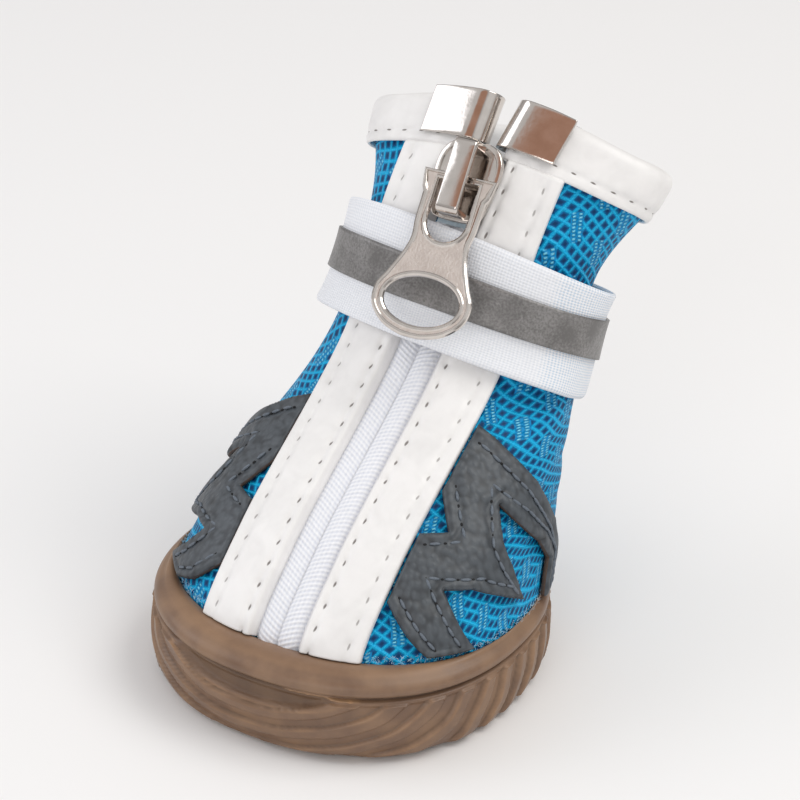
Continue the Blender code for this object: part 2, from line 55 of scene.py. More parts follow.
# The sizes that the surfaces follow
last = {
    "soleLength": 48.8 * mm,
    "soleWidth": 47.8 * mm,
    "soleShift": -0.4 * mm,
    "floorHeight": 4.7 * mm,
    "footWidth": 0.933 * 47.8 * mm,
    "bootHeight": 64.5 * mm,
    "sidewaysLean": 3.0 * mm,
    "collarDip": 2.4 * mm,
    "strapTop": 0.76,
    "roundness": 0.89,
    "lipLevel": 0.14,
    "wall": 1.3 * mm,
    "gap": 0.3 * mm,
    # level, front y, front z, back y, back z, half width, sideways shift, as shares
    "sections": [
        (0.00, -0.762, 0.078, 0.893, 0.078, 0.951, 0.00),
        (0.14, -0.799, 0.183, 0.934, 0.158, 1.000, 0.00),
        (0.30, -0.430, 0.316, 1.098, 0.256, 0.937, 0.03),
        (0.55, 0.574, 0.574, 1.369, 0.414, 0.740, 0.20),
        (0.76, 0.836, 0.791, 1.500, 0.627, 0.704, 0.47),
        (0.91, 1.115, 0.930, 1.717, 0.766, 0.865, 0.80),
        (1.00, 1.270, 1.000, 1.840, 0.838, 0.890, 1.00),
    ],
}
gap, wall, lipLevel = last["gap"], last["wall"], last["lipLevel"]


def eased(table, position):
    # A smooth curve through a table's rows, straight on past its last one
    table = np.array(table, float)
    places, values = table[:, 0], table[:, 1:]
    slopes = np.diff(values, axis=0) / np.diff(places)[:, None]
    steps = np.diff(places)[:, None]
    middle = (slopes[:-1] * steps[1:] + slopes[1:] * steps[:-1]) / (steps[:-1] + steps[1:])
    tangents = np.vstack((slopes[:1], middle, slopes[-1:]))
    position = np.asarray(position, float)
    row = np.clip(np.searchsorted(places, position) - 1, 0, len(places) - 2)
    span = (places[row + 1] - places[row])[..., None]
    t = (position - places[row])[..., None] / span
    curve = (2 * t**3 - 3 * t**2 + 1) * values[row] + (t**3 - 2 * t**2 + t) * span * tangents[row]
    curve += (3 * t**2 - 2 * t**3) * values[row + 1] + (t**3 - t**2) * span * tangents[row + 1]
    past = values[-1] + (position[..., None] - places[-1]) * slopes[-1]
    return np.where(position[..., None] > places[-1], past, curve)


def rounded(value):
    return np.copysign(np.abs(value) ** last["roundness"], value)


def skin(share, level):
    # The upper's outer face: share 0 is the front middle, 1 or -1 the back
    share, level = np.broadcast_arrays(np.asarray(share, float), np.asarray(level, float))
    above = np.maximum(level - last["strapTop"], 0) / (1 - last["strapTop"])
    level = level - last["collarDip"] / last["bootHeight"] * above * (1 - np.cos(np.pi * share) ** 4)
    half, height = last["soleLength"] / 2, last["bootHeight"]
    scale = np.array([half, height, half, height, last["footWidth"] / 2, last["sidewaysLean"]])
    section = eased(last["sections"], level) * scale
    frontY, frontZ, backY, backZ, halfWidth, shift = np.moveaxis(section, -1, 0)
    across, along = rounded(np.sin(np.pi * share)), rounded(np.cos(np.pi * share))
    y = (frontY + backY) / 2 + (frontY - backY) / 2 * along
    z = (frontZ + backZ) / 2 + (frontZ - backZ) / 2 * along
    return np.stack((shift + halfWidth * across, y, z), axis=-1)


def unit(vectors):
    return vectors / np.linalg.norm(vectors, axis=-1, keepdims=True)


def skinOut(share, level):
    share, level = np.asarray(share, float), np.asarray(level, float)
    along = skin(share + 0.001, level) - skin(share - 0.001, level)
    up = skin(share, level + 0.001) - skin(share, np.maximum(level - 0.001, 0.0))
    return unit(np.cross(along, up))


def offSkin(share, level, out):
    return skin(share, level) + np.asarray(out, float)[..., None] * skinOut(share, level)


# Tables of lengths over the skin: a row for each level up to highest, a column for each share of a side
highest, tableRows, tableColumns = 1.25, 126, 257
levelTable, shareTable = np.linspace(0, highest, tableRows), np.linspace(0, 1, tableColumns)


def walkedOver(grid, axis):
    # Lengths walked over a grid of points along one axis, from 0
    steps = np.linalg.norm(np.diff(grid, axis=axis), axis=2)
    return np.insert(np.cumsum(steps, axis=axis), 0, 0, axis=axis)


halfGrid = skin(shareTable[None, :], levelTable[:, None])
girthTable = walkedOver(halfGrid, 1)
shareByPart = np.array([np.interp(shareTable * row[-1], row, shareTable) for row in girthTable])
frontLengths = walkedOver(halfGrid, 0)[:, 0]


def fromTable(table, level, part):
    # Reads a table between its points: part is 0 at its first column and 1 at its last
    rows, columns = table.shape
    row = np.clip(np.asarray(level, float) / highest * (rows - 1), 0, rows - 1.001)
    column = np.clip(np.asarray(part, float) * (columns - 1), 0, columns - 1.001)
    r, c = row.astype(int), column.astype(int)
    fr, fc = row - r, column - c
    low = table[r, c] * (1 - fc) + table[r, c + 1] * fc
    high = table[r + 1, c] * (1 - fc) + table[r + 1, c + 1] * fc
    return low * (1 - fr) + high * fr


def shareAt(distance, level):
    distance, level = np.broadcast_arrays(np.asarray(distance, float), np.asarray(level, float))
    half = np.interp(level, levelTable, girthTable[:, -1])
    return np.copysign(fromTable(shareByPart, level, np.abs(distance) / half), distance)


def distanceAt(share, level):
    # How far round from the front middle a share lies, in metres, signed
    wrapped = (np.asarray(share, float) + 1) % 2 - 1
    return np.copysign(fromTable(girthTable, level, np.abs(wrapped)), wrapped)


def place(distance, level, out):
    return offSkin(shareAt(distance, level), level, out)


widest = 62 * mm
guides = shareAt(np.linspace(0, widest, 125)[None, :], levelTable[:, None])
guideRise = walkedOver(skin(guides, levelTable[:, None]), 0)


def riseAt(distance, level):
    # Length up the cloth from the cup's floor, at one distance round from the front middle
    return fromTable(guideRise, level, np.abs(distance) / widest)


frontTop = float(np.interp(1.0, levelTable, frontLengths))


def belowCollar(distance):
    return float(np.interp(frontTop - distance, frontLengths, levelTable))


def aboveLevel(level, distance):
    return float(np.interp(np.interp(level, levelTable, frontLengths) + distance, frontLengths, levelTable))


def ease(low, high, value):
    t = np.clip((np.asarray(value, float) - low) / (high - low), 0, 1)
    return t * t * (3 - 2 * t)


def edgeRound(distance, radius):
    # 0 at an edge, 1 from the radius inwards, along a quarter circle
    return np.sqrt(1 - (1 - np.clip(distance / radius, 0, 1)) ** 2)


def ripple(seed, *coordinates):
    # A smooth wandering value near -1 to 1, the same each run
    wave = np.random.default_rng(seed)
    total = 0
    for _ in range(6):
        turn = sum(wave.uniform(-1, 1) * c for c in coordinates)
        total = total + np.sin(2 * np.pi * (turn * wave.uniform(0.5, 1.6) + wave.uniform()))
    return total / 3


def gridFaces(rows, columns, start=0, flip=False, around=False):
    at = start + np.arange(rows * columns).reshape(rows, columns)
    if around:
        at = np.hstack((at, at[:, :1]))
    faces = np.stack((at[:-1, :-1], at[:-1, 1:], at[1:, 1:], at[1:, :-1]), axis=-1).reshape(-1, 4)
    return faces[:, ::-1] if flip else faces


def makeMesh(name, points, faces, uv=None, values=None):
    mesh = bpy.data.meshes.new(name)
    mesh.from_pydata(np.asarray(points).tolist(), [], [list(map(int, face)) for face in faces])
    if uv is not None:
        layer = mesh.uv_layers.new(name="cloth")
        corner = np.zeros(len(mesh.loops), int)
        mesh.loops.foreach_get("vertex_index", corner)
        layer.data.foreach_set("uv", np.asarray(uv, float)[corner].astype(np.float32).ravel())
    for key, value in (values or {}).items():
        mesh.attributes.new(key, "FLOAT", "POINT").data.foreach_set("value", np.asarray(value, np.float32))
    mesh.shade_smooth()
    return mesh


def makeObject(name, mesh, *finishes):
    made = bpy.data.objects.new(name, mesh)
    bpy.context.scene.collection.objects.link(made)
    for finish in finishes:
        made.data.materials.append(finish)
    return made


def slab(name, outer, inner, uv, finishes, values=None):
    # A closed body between two open grids of points of one size
    rows, columns = outer.shape[:2]
    count = rows * columns
    faces = [gridFaces(rows, columns), gridFaces(rows, columns, count, flip=True)]
    at = np.arange(count).reshape(rows, columns)
    rim = np.concatenate((at[0], at[1:, -1], at[-1, -2::-1], at[-2:0:-1, 0]))
    beside = np.roll(rim, -1)
    faces.append(np.stack((beside, rim, rim + count, beside + count), axis=-1))
    points = np.vstack((outer.reshape(-1, 3), inner.reshape(-1, 3)))
    both = np.vstack((uv.reshape(-1, 2), uv.reshape(-1, 2)))
    doubled = {key: np.tile(value.ravel(), 2) for key, value in (values or {}).items()}
    return makeObject(name, makeMesh(name, points, np.vstack(faces), both, doubled), *finishes)


def outwards(mesh):
    shape = bmesh.new()
    shape.from_mesh(mesh)
    bmesh.ops.recalc_face_normals(shape, faces=shape.faces)
    shape.to_mesh(mesh)
    shape.free()


print("surfaces ready")


# Materials
def hexColour(code):
    parts = [int(code[i : i + 2], 16) / 255 for i in (0, 2, 4)]
    return (*[p / 12.92 if p <= 0.04045 else ((p + 0.055) / 1.055) ** 2.4 for p in parts], 1.0)


def addNode(tree, kind, links=(), **settings):
    # Adds one node; links gives its inputs, in order or by name: values, or other nodes' outputs
    node = tree.nodes.new(kind)
    for key, value in settings.items():
        setattr(node, key, value)
    for key, value in links.items() if isinstance(links, dict) else enumerate(links):
        if isinstance(value, bpy.types.NodeSocket):
            tree.links.new(value, node.inputs[key])
        else:
            node.inputs[key].default_value = value
    return node


def formula(tree, known, action, *inputs):
    # Writes a formula in nodes: a maths operation, a MIX of two colours, or a RANGE or a FADE (a smooth
    # step) of a value. An input is a number, a hex colour, the name of a known value or another formula.
    given = []
    for value in inputs:
        if isinstance(value, tuple):
            value = formula(tree, known, *value)
        elif isinstance(value, str):
            value = known[value] if value in known else hexColour(value)
        given.append(value)
    if action == "MIX":
        return addNode(tree, "ShaderNodeMix", dict(zip((0, 6, 7), given)), data_type="RGBA").outputs[2]
    if action in ("RANGE", "FADE"):
        bend = "SMOOTHSTEP" if action == "FADE" else "LINEAR"
        return addNode(tree, "ShaderNodeMapRange", given, interpolation_type=bend).outputs[0]
    return addNode(tree, "ShaderNodeMath", given, operation=action).outputs[0]


def workOut(tree, known, **formulas):
    for name, steps in formulas.items():
        known[name] = formula(tree, known, *steps)


def newMaterial(name, **sockets):
    material = bpy.data.materials.new(name)
    material.use_nodes = True
    shader = material.node_tree.nodes["Principled BSDF"]
    for key, value in sockets.items():
        shader.inputs[key.replace("_", " ")].default_value = value
    return material, material.node_tree, shader


def finishShader(tree, shader, known, *bumps):
    # Joins the known colour and roughness to the shader, and the bumps, each over the last one:
    # strength, depth in millimetres and the value that gives its height; below 0, it sinks
    tree.links.new(known["colour"], shader.inputs["Base Color"])
    if "roughness" in known:
        tree.links.new(known["roughness"], shader.inputs["Roughness"])
    below = {}
    for strength, depthMm, height in bumps:
        links = {"Strength": abs(strength), "Distance": depthMm * mm, "Height": known[height], **below}
        below = {"Normal": addNode(tree, "ShaderNodeBump", links, invert=strength < 0).outputs[0]}
    tree.links.new(below["Normal"], shader.inputs["Normal"])


def gumRubberMaterial():
    # Gum rubber, pressed in a mould: satin, warm brown, paler where its flash was torn, with painted
    # highlights on its rib edges, lens rim and lip roll, and painted shade in its creases, groove and lens
    # recess
    # The palest colour serves both the torn flash and painted highlights; the darkest is painted shade
    user = {"deep": "725846", "light": "8A6D55", "tornAndHighlit": "B48C66", "crease": "43301F"}
    user.update({"mottleMm": 5.0, "grainMm": 0.3, "roughness": (0.34, 0.5)})
    material, tree, shader = newMaterial("gumRubberMoulded")
    known = {}
    at = addNode(tree, "ShaderNodeTexCoord").outputs["Object"]
    for name, sizeMm, detail in (("mottle", user["mottleMm"], 6.0), ("grain", user["grainMm"], 4.0)):
        links = {"Vector": at, "Scale": 1000 / sizeMm, "Detail": detail}
        known[name] = addNode(tree, "ShaderNodeTexNoise", links).outputs["Fac"]
    for name in ("creased", "tornAndHighlit"):
        known[name] = addNode(tree, "ShaderNodeAttribute", attribute_name=name).outputs["Fac"]
    mottledTone = ("MIX", ("FADE", "mottle", 0.3, 0.7), user["deep"], user["light"])
    workOut(
        tree,
        known,
        colour=("MIX", "tornAndHighlit", ("MIX", "creased", mottledTone, user["crease"]), user["tornAndHighlit"]),
        roughness=("FADE", "mottle", 0.3, 0.7, *user["roughness"]),
    )
    finishShader(tree, shader, known, (0.25, 0.06, "grain"))
    return material


def knitMaterial():
    # Warp-knitted polyester spacer mesh: round strands about diamond holes painted dark as shade, with short
    # pairs of beaded chains
    user = {
        # The hole colours are painted shade: the dark one at a hole's middle, the edge one towards its strands
        "hole": "013560",
        "holeEdge": "026CAA",
        "strand": "00A0DA",
        "bright": "26C2F0",
        "chainBase": "0088C6",
        "bead": "84DDF5",
        "holePitchMm": (1.9, 2.0),
        "columnMm": 3.6,
        "chainLengthMm": 8.6,
        "pairMm": 0.43,
        "beadMm": 0.52,
        "driftMm": 2.4,
    }
    material, tree, shader = newMaterial("polyesterSpacerMesh", Roughness=0.5, Specular_IOR_Level=0.2)
    uv = addNode(tree, "ShaderNodeUVMap", uv_map="cloth").outputs[0]
    drift = addNode(tree, "ShaderNodeTexNoise", {"Vector": uv, "Scale": 0.12, "Detail": 0.0}).outputs["Color"]
    reach = (user["driftMm"], user["driftMm"], 0.0)
    moved = addNode(tree, "ShaderNodeVectorMath", (drift, reach, uv), operation="MULTIPLY_ADD").outputs[0]
    split = addNode(tree, "ShaderNodeSeparateXYZ", (moved,)).outputs
    fibre = addNode(tree, "ShaderNodeTexNoise", {"Vector": uv, "Scale": 5.0, "Detail": 3.0}).outputs["Fac"]
    known = {"u": split[0], "v": split[1], "fibre": fibre}

    # The strands run both ways between the holes
    holes = [("DIVIDE", key, pitch) for key, pitch in zip("uv", user["holePitchMm"])]
    for way, sign in (("rising", "ADD"), ("falling", "SUBTRACT")):
        known[way] = formula(tree, known, sign, *holes)
        known[f"{way}Near"] = formula(tree, known, "ABSOLUTE", ("SUBTRACT", ("FRACT", way), 0.5))
    cell = [formula(tree, known, "FLOOR", way) for way in ("rising", "falling")]
    cell = addNode(tree, "ShaderNodeCombineXYZ", cell).outputs[0]
    known["luck"] = addNode(tree, "ShaderNodeTexWhiteNoise", {"Vector": cell}).outputs["Value"]
    workOut(
        tree,
        known,
        toStrand=("SMOOTH_MIN", "risingNear", "fallingNear", 0.1),
        strand=("FADE", "toStrand", 0.23, 0.12),
        # Painted shade in the holes, lighter towards the strands, each hole a little different at random
        depth=("MULTIPLY", ("FADE", "toStrand", 0.42, 0.16), ("ADD", ("MULTIPLY", "luck", 0.5), 0.5)),
        # The chains stand in columns, and their beads in pairs
        column=("DIVIDE", "u", user["columnMm"]),
        index=("ROUND", "column"),
        across=("MULTIPLY", ("SUBTRACT", "column", "index"), user["columnMm"]),
        aside=("ABSOLUTE", "across"),
        turn=("FRACT", ("MULTIPLY", "index", 0.5)),
        along=("FRACT", ("ADD", ("DIVIDE", "v", user["chainLengthMm"]), "turn")),
        present=("FADE", ("ABSOLUTE", ("SUBTRACT", "along", 0.25)), 0.26, 0.22),
        filled=("MULTIPLY", "present", ("FADE", "aside", 0.95, 0.8)),
        chain=("FADE", ("ABSOLUTE", ("SUBTRACT", "aside", user["pairMm"])), 0.3, 0.12),
        stagger=("MULTIPLY", ("GREATER_THAN", "across", 0.0), 0.5),
        beat=("FRACT", ("ADD", ("DIVIDE", "v", user["beadMm"]), "stagger")),
        round=("FADE", ("ABSOLUTE", ("SUBTRACT", "beat", 0.5)), 0.4, 0.15),
        bead=("MULTIPLY", ("MULTIPLY", "round", "chain"), "present"),
        shine=("MULTIPLY", "bead", ("FADE", "fibre", 0.3, 0.6, 0.45, 1.0)),
        # The strands are paler where the fibre noise stands highest: a random tone that is also painted
        # highlight on the raised fibres
        yarn=("MIX", ("FADE", "fibre", 0.35, 0.7), user["strand"], user["bright"]),
        net=("MIX", "strand", ("MIX", "depth", user["hole"], user["holeEdge"]), "yarn"),
        colour=("MIX", "shine", ("MIX", "filled", "net", user["chainBase"]), user["bead"]),
        height=("MAXIMUM", ("FADE", "toStrand", 0.26, 0.0), ("MULTIPLY", "bead", 1.2)),
    )
    finishShader(tree, shader, known, (0.85, 0.3, "height"), (0.35, 0.05, "fibre"))
    return material


def stitchSlits(tree, user):
    # Painted shade in the slits where the thread dives, in rows (place across, start, strength) along the
    # cloth
    uv = addNode(tree, "ShaderNodeUVMap", uv_map="cloth").outputs[0]
    wander = addNode(tree, "ShaderNodeTexNoise", {"Vector": uv, "Scale": 0.6, "Detail": 2.0}).outputs["Color"]
    wanderMm, aside = (0.35, 0.5, 0.0), 0.17
    moved = addNode(tree, "ShaderNodeVectorMath", (wander, wanderMm, uv), operation="MULTIPLY_ADD").outputs[0]
    split = addNode(tree, "ShaderNodeSeparateXYZ", (moved,)).outputs
    known, pitch = {"u": split[0], "v": split[1]}, user["pitchMm"]
    for place, start, strength in user["rows"]:
        workOut(
            tree,
            known,
            across=("DIVIDE", ("SUBTRACT", "u", place + aside), user["slitMm"][0]),
            beat=("FRACT", ("ADD", ("DIVIDE", "v", pitch), start)),
            along=("MULTIPLY", ("SUBTRACT", "beat", 0.5), pitch / user["slitMm"][1]),
            reach=("ADD", ("MULTIPLY", "across", "across"), ("MULTIPLY", "along", "along")),
            slit=("MULTIPLY", ("FADE", "reach", 1.6, 0.2), strength),
        )
        before = known.get("total", 0.0)
        workOut(tree, known, total=("MAXIMUM", before, "slit"))
    return known["total"]


def coatedFabricMaterial(name, user):
    # Polyurethane-coated fabric, embossed with a leather grain and stitched down; its stitch slits are painted
    # dark as shade
    material, tree, shader = newMaterial(name, Roughness=user["roughness"])
    at = addNode(tree, "ShaderNodeTexCoord").outputs["Object"]
    warp = addNode(tree, "ShaderNodeTexNoise", {"Vector": at, "Scale": 600.0, "Detail": 2.0}).outputs["Color"]
    warped = (warp, (0.6 * mm,) * 3, at)
    moved = addNode(tree, "ShaderNodeVectorMath", warped, operation="MULTIPLY_ADD").outputs[0]
    longer = addNode(tree, "ShaderNodeVectorMath", (moved, (1.0, 1.0, 0.6)), operation="MULTIPLY").outputs[0]
    grain = {"Vector": longer, "Scale": 1000 / user["grainMm"]}
    crease = {"Vector": at, "Scale": 1000 / user["creaseMm"], "Detail": 6.0, "Distortion": 0.8}
    known = {
        "cells": addNode(tree, "ShaderNodeTexVoronoi", grain, feature="SMOOTH_F1").outputs["Distance"],
        "creases": addNode(tree, "ShaderNodeTexNoise", crease).outputs["Fac"],
    }
    tone = ("MIX", ("FADE", "creases", 0.3, 0.7), user["deep"], user["light"])
    veined = ("FADE", "cells", 0.25, 0.75, user["veins"], 0.0)
    workOut(tree, known, colour=("MIX", veined, tone, user["vein"]))
    if "rows" in user:
        known["slits"] = stitchSlits(tree, user)
        workOut(tree, known, colour=("MIX", "slits", "colour", user["hole"]))
    finishShader(tree, shader, known, (-user["grain"], 0.12, "cells"), (user["crease"], 0.3, "creases"))
    return material


def wovenMaterial(name, user):
    # Woven polyester tape: fine ribs of thread across it and a thinner weft between them; its tone follows
    # their height, painted shade where the weave sinks and painted highlight on the thread tops, with the
    # fuzz's random mottle in it
    material, tree, shader = newMaterial(name, Roughness=0.75, Sheen_Weight=0.3, Sheen_Roughness=0.5)
    uv = addNode(tree, "ShaderNodeUVMap", uv_map="cloth").outputs[0]
    split = addNode(tree, "ShaderNodeSeparateXYZ", (uv,)).outputs
    fuzz = addNode(tree, "ShaderNodeTexNoise", {"Vector": uv, "Scale": 2.2, "Detail": 4.0}).outputs["Fac"]
    sheer = addNode(tree, "ShaderNodeAttribute", attribute_name="sheer").outputs["Fac"]
    known = {"u": split[0], "v": split[1], "fuzz": fuzz, "sheer": sheer}
    warp, weft = (("COSINE", ("MULTIPLY", key, 2 * math.pi / p)) for key, p in zip("uv", user["threadMm"]))
    workOut(
        tree,
        known,
        height=("MULTIPLY_ADD", "fuzz", 2.0, ("MULTIPLY_ADD", warp, user["weft"], weft)),
        pattern=("RANGE", "height", -0.8, 2.6),
        threads=("MAXIMUM", ("SUBTRACT", "sheer", "pattern"), 0.0),
        colour=("MIX", "threads", ("MIX", "pattern", user["deep"], user["light"]), user["behind"]),
    )
    finishShader(tree, shader, known, (0.6, user["reliefMm"], "height"))
    return material


def mottledMaterial(name, user, **sockets):
    # A fine mottle between two colours, led by the noise named mottle or by a share formula that is given
    material, tree, shader = newMaterial(name, **sockets)
    at = addNode(tree, "ShaderNodeTexCoord").outputs["Object"]
    known = {}
    for key, scale, detail in user["noises"]:
        links = {"Vector": at, "Scale": scale, "Detail": detail}
        known[key] = addNode(tree, "ShaderNodeTexNoise", links).outputs["Fac"]
    workOut(tree, known, colour=("MIX", user.get("share", "mottle"), user["deep"], user["light"]))
    if "shine" in user:
        workOut(tree, known, roughness=("RANGE", "mottle", 0.3, 0.7, *user["shine"]))
    finishShader(tree, shader, known, user["bump"])
    return material


def nickelMaterial(name, deep, light, pitMm, shine, pits):
    # Nickel-plated zinc, cast and tumbled: bright, slightly warm, with small dents and smears
    noises = (("mottle", 500.0, 4.0), ("pits", 1000 / pitMm, 3.0))
    user = {"deep": deep, "light": light, "noises": noises, "shine": shine, "bump": (pits, 0.05, "pits")}
    return mottledMaterial(name, user, Metallic=1.0)


def plainMaterial(name, deep, light, grainMm, roughness):
    # A small part's own colour with a fine mottle, for thread, felt and cut edges
    user = {"deep": deep, "light": light, "noises": (("mottle", 1000 / grainMm, 3.0),)}
    return mottledMaterial(name, {**user, "bump": (0.3, 0.05, "mottle")}, Roughness=roughness)


gumRubber = gumRubberMaterial()
knit = knitMaterial()

# Brushed polyester lining: matt, pale, with a fine nap
brushed = {"deep": "A9BBC8", "light": "DFE8EE", "noises": (("mottle", 1800.0, 4.0),)}
brushed["bump"] = (0.6, 0.15, "mottle")
lining = mottledMaterial("brushedPolyesterLining", brushed, Roughness=0.9, Sheen_Weight=0.4)

smoothWhite = {
    "deep": "E3E1E0",
    "light": "ECEAE9",
    "vein": "EFEEED",
    "veins": 0.2,
    # The hole colour is painted shade in the stitch slits
    "hole": "5A514B",
    "roughness": 0.42,
    "grainMm": 0.8,
    "grain": 0.08,
    "creaseMm": 5.0,
    "crease": 0.07,
}
grainedGrey = {
    "deep": "2F3337",
    "light": "3A3E43",
    "vein": "51575D",
    "veins": 0.7,
    "roughness": 0.46,
    "grainMm": 0.7,
    "grain": 1.0,
    "creaseMm": 4.0,
    "crease": 0.16,
}
stripStitches = {"rows": [(1.2, 0.0, 0.85), (5.7, 0.4, 0.6)], "pitchMm": 2.9, "slitMm": (0.14, 0.42)}
collarStitches = {"rows": [(1.5, 0.0, 0.9)], "pitchMm": 2.6, "slitMm": (0.12, 0.34)}
stripWhite = coatedFabricMaterial("whiteCoatedStrip", {**smoothWhite, **stripStitches})
collarWhite = coatedFabricMaterial("whiteCoatedBinding", {**smoothWhite, **collarStitches})
greyCoated = coatedFabricMaterial("greyGrainedFabric", grainedGrey)

# Deep is painted shade where the weave sinks, light the thread tops, painted as highlight
zipTape = {"deep": "D3D6E0", "light": "F4F4F7", "behind": "C3C8D6", "threadMm": (0.5, 0.62), "weft": 0.5}
strapTape = {"deep": "DFE2E9", "light": "F1F2F6", "behind": "A6C4DE", "threadMm": (0.36, 0.36), "weft": 1.0}
zipWeave = wovenMaterial("zipTapePolyester", {**zipTape, "reliefMm": 0.05})
strapWeave = wovenMaterial("strapTapePolyester", {**strapTape, "reliefMm": 0.03})

# Glass-bead reflective film: grey, with a fine metallic sparkle
film = {
    "deep": "6C6A69",
    "light": "908E8D",
    "noises": (("beads", 3500.0, 2.0), ("cloud", 260.0, 3.0)),
    "share": ("RANGE", ("MULTIPLY", "beads", "cloud"), 0.15, 0.38),
    "bump": (0.35, 0.05, "beads"),
}
reflective = mottledMaterial("glassBeadFilm", film, Roughness=0.42, Metallic=0.35)

polishedNickel = nickelMaterial("nickelPlatePolished", "C6BEB7", "E2DCD7", 0.5, (0.06, 0.16), 0.12)
satinNickel = nickelMaterial("nickelPlateTumbled", "BFB5AD", "DCD5CE", 0.26, (0.34, 0.46), 0.9)
greyThread = plainMaterial("polyesterThreadGrey", "4A515A", "727B86", 0.3, 0.6)
holeShade = plainMaterial("needleHoleShade", "141517", "232426", 0.3, 0.9)
cutEdge = plainMaterial("cutFabricEdge", "3F3029", "6B5446", 0.4, 0.85)
felt = plainMaterial("insoleFelt", "8E9498", "B9BEC2", 0.5, 0.95)
frayed = plainMaterial("frayedPolyester", "9CCDE6", "E6F1F6", 0.5, 0.9)
print("materials ready")

# Places that the pieces share
zipSizes = {
    "chainWidth": 6.0 * mm,
    "chainDepth": 1.4 * mm,
    "chainRidge": 0.5 * mm,
    "placketWidth": 7.6 * mm,
    "placketThickness": 1.1 * mm,
    "sliderLength": 10.2 * mm,
    "sliderWidth": 8.8 * mm,
    "sliderPlate": 0.9 * mm,
    "sliderTurn": 7.0,  # degrees askew on the zip
    "crownWidth": 3.0 * mm,
    "crownHeight": 3.2 * mm,
    "crownWall": 1.0 * mm,
}
strapSizes = {
    "bottom": 0.55,
    "top": 0.76,
    "thickness": 0.8 * mm,
    "lap": 0.10,  # share of the way round that it laps at the back
    "flare": 1.2 * mm,
    "tilt": 1.3 * mm,
}
collarSizes = {
    "height": 7.2 * mm,
    "thickness": 0.6 * mm,
    "clipWidth": 8.1 * mm,
    "clipHeight": 6.5 * mm,
    "clipThickness": 0.4 * mm,
    "clipSpread": 0.8 * mm,
    "clipFan": 0.6 * mm,
    "clipProud": 0.6 * mm,
}
placketTop = gap + zipSizes["placketThickness"]
plateLow = placketTop + gap
plateHigh = plateLow + zipSizes["sliderPlate"]
foldDepth = wall + 2 * gap + collarSizes["thickness"]
foldRise = 0.75 * foldDepth
upperTop = belowCollar(foldRise + collarSizes["thickness"] / 2 + gap)
sliderBottom = aboveLevel(strapSizes["top"], 0.7 * zipSizes["sliderPlate"])
sliderLevel = aboveLevel(sliderBottom, zipSizes["sliderLength"] / 2)
sliderTop = aboveLevel(sliderBottom, zipSizes["sliderLength"])
sliderTwist = Matrix.Rotation(math.radians(zipSizes["sliderTurn"]), 4, "Z")


def clipStart(level):
    # The clips open in a V towards the collar's edge
    low = belowCollar(collarSizes["clipHeight"])
    return collarSizes["clipSpread"] + collarSizes["clipFan"] * np.clip((level - low) / (1 - low), 0, 1)


def finishPiece(made, slotName, *nodes, body="boot"):
    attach(made, body)
    if nodes:
        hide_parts(*nodes)
    return made


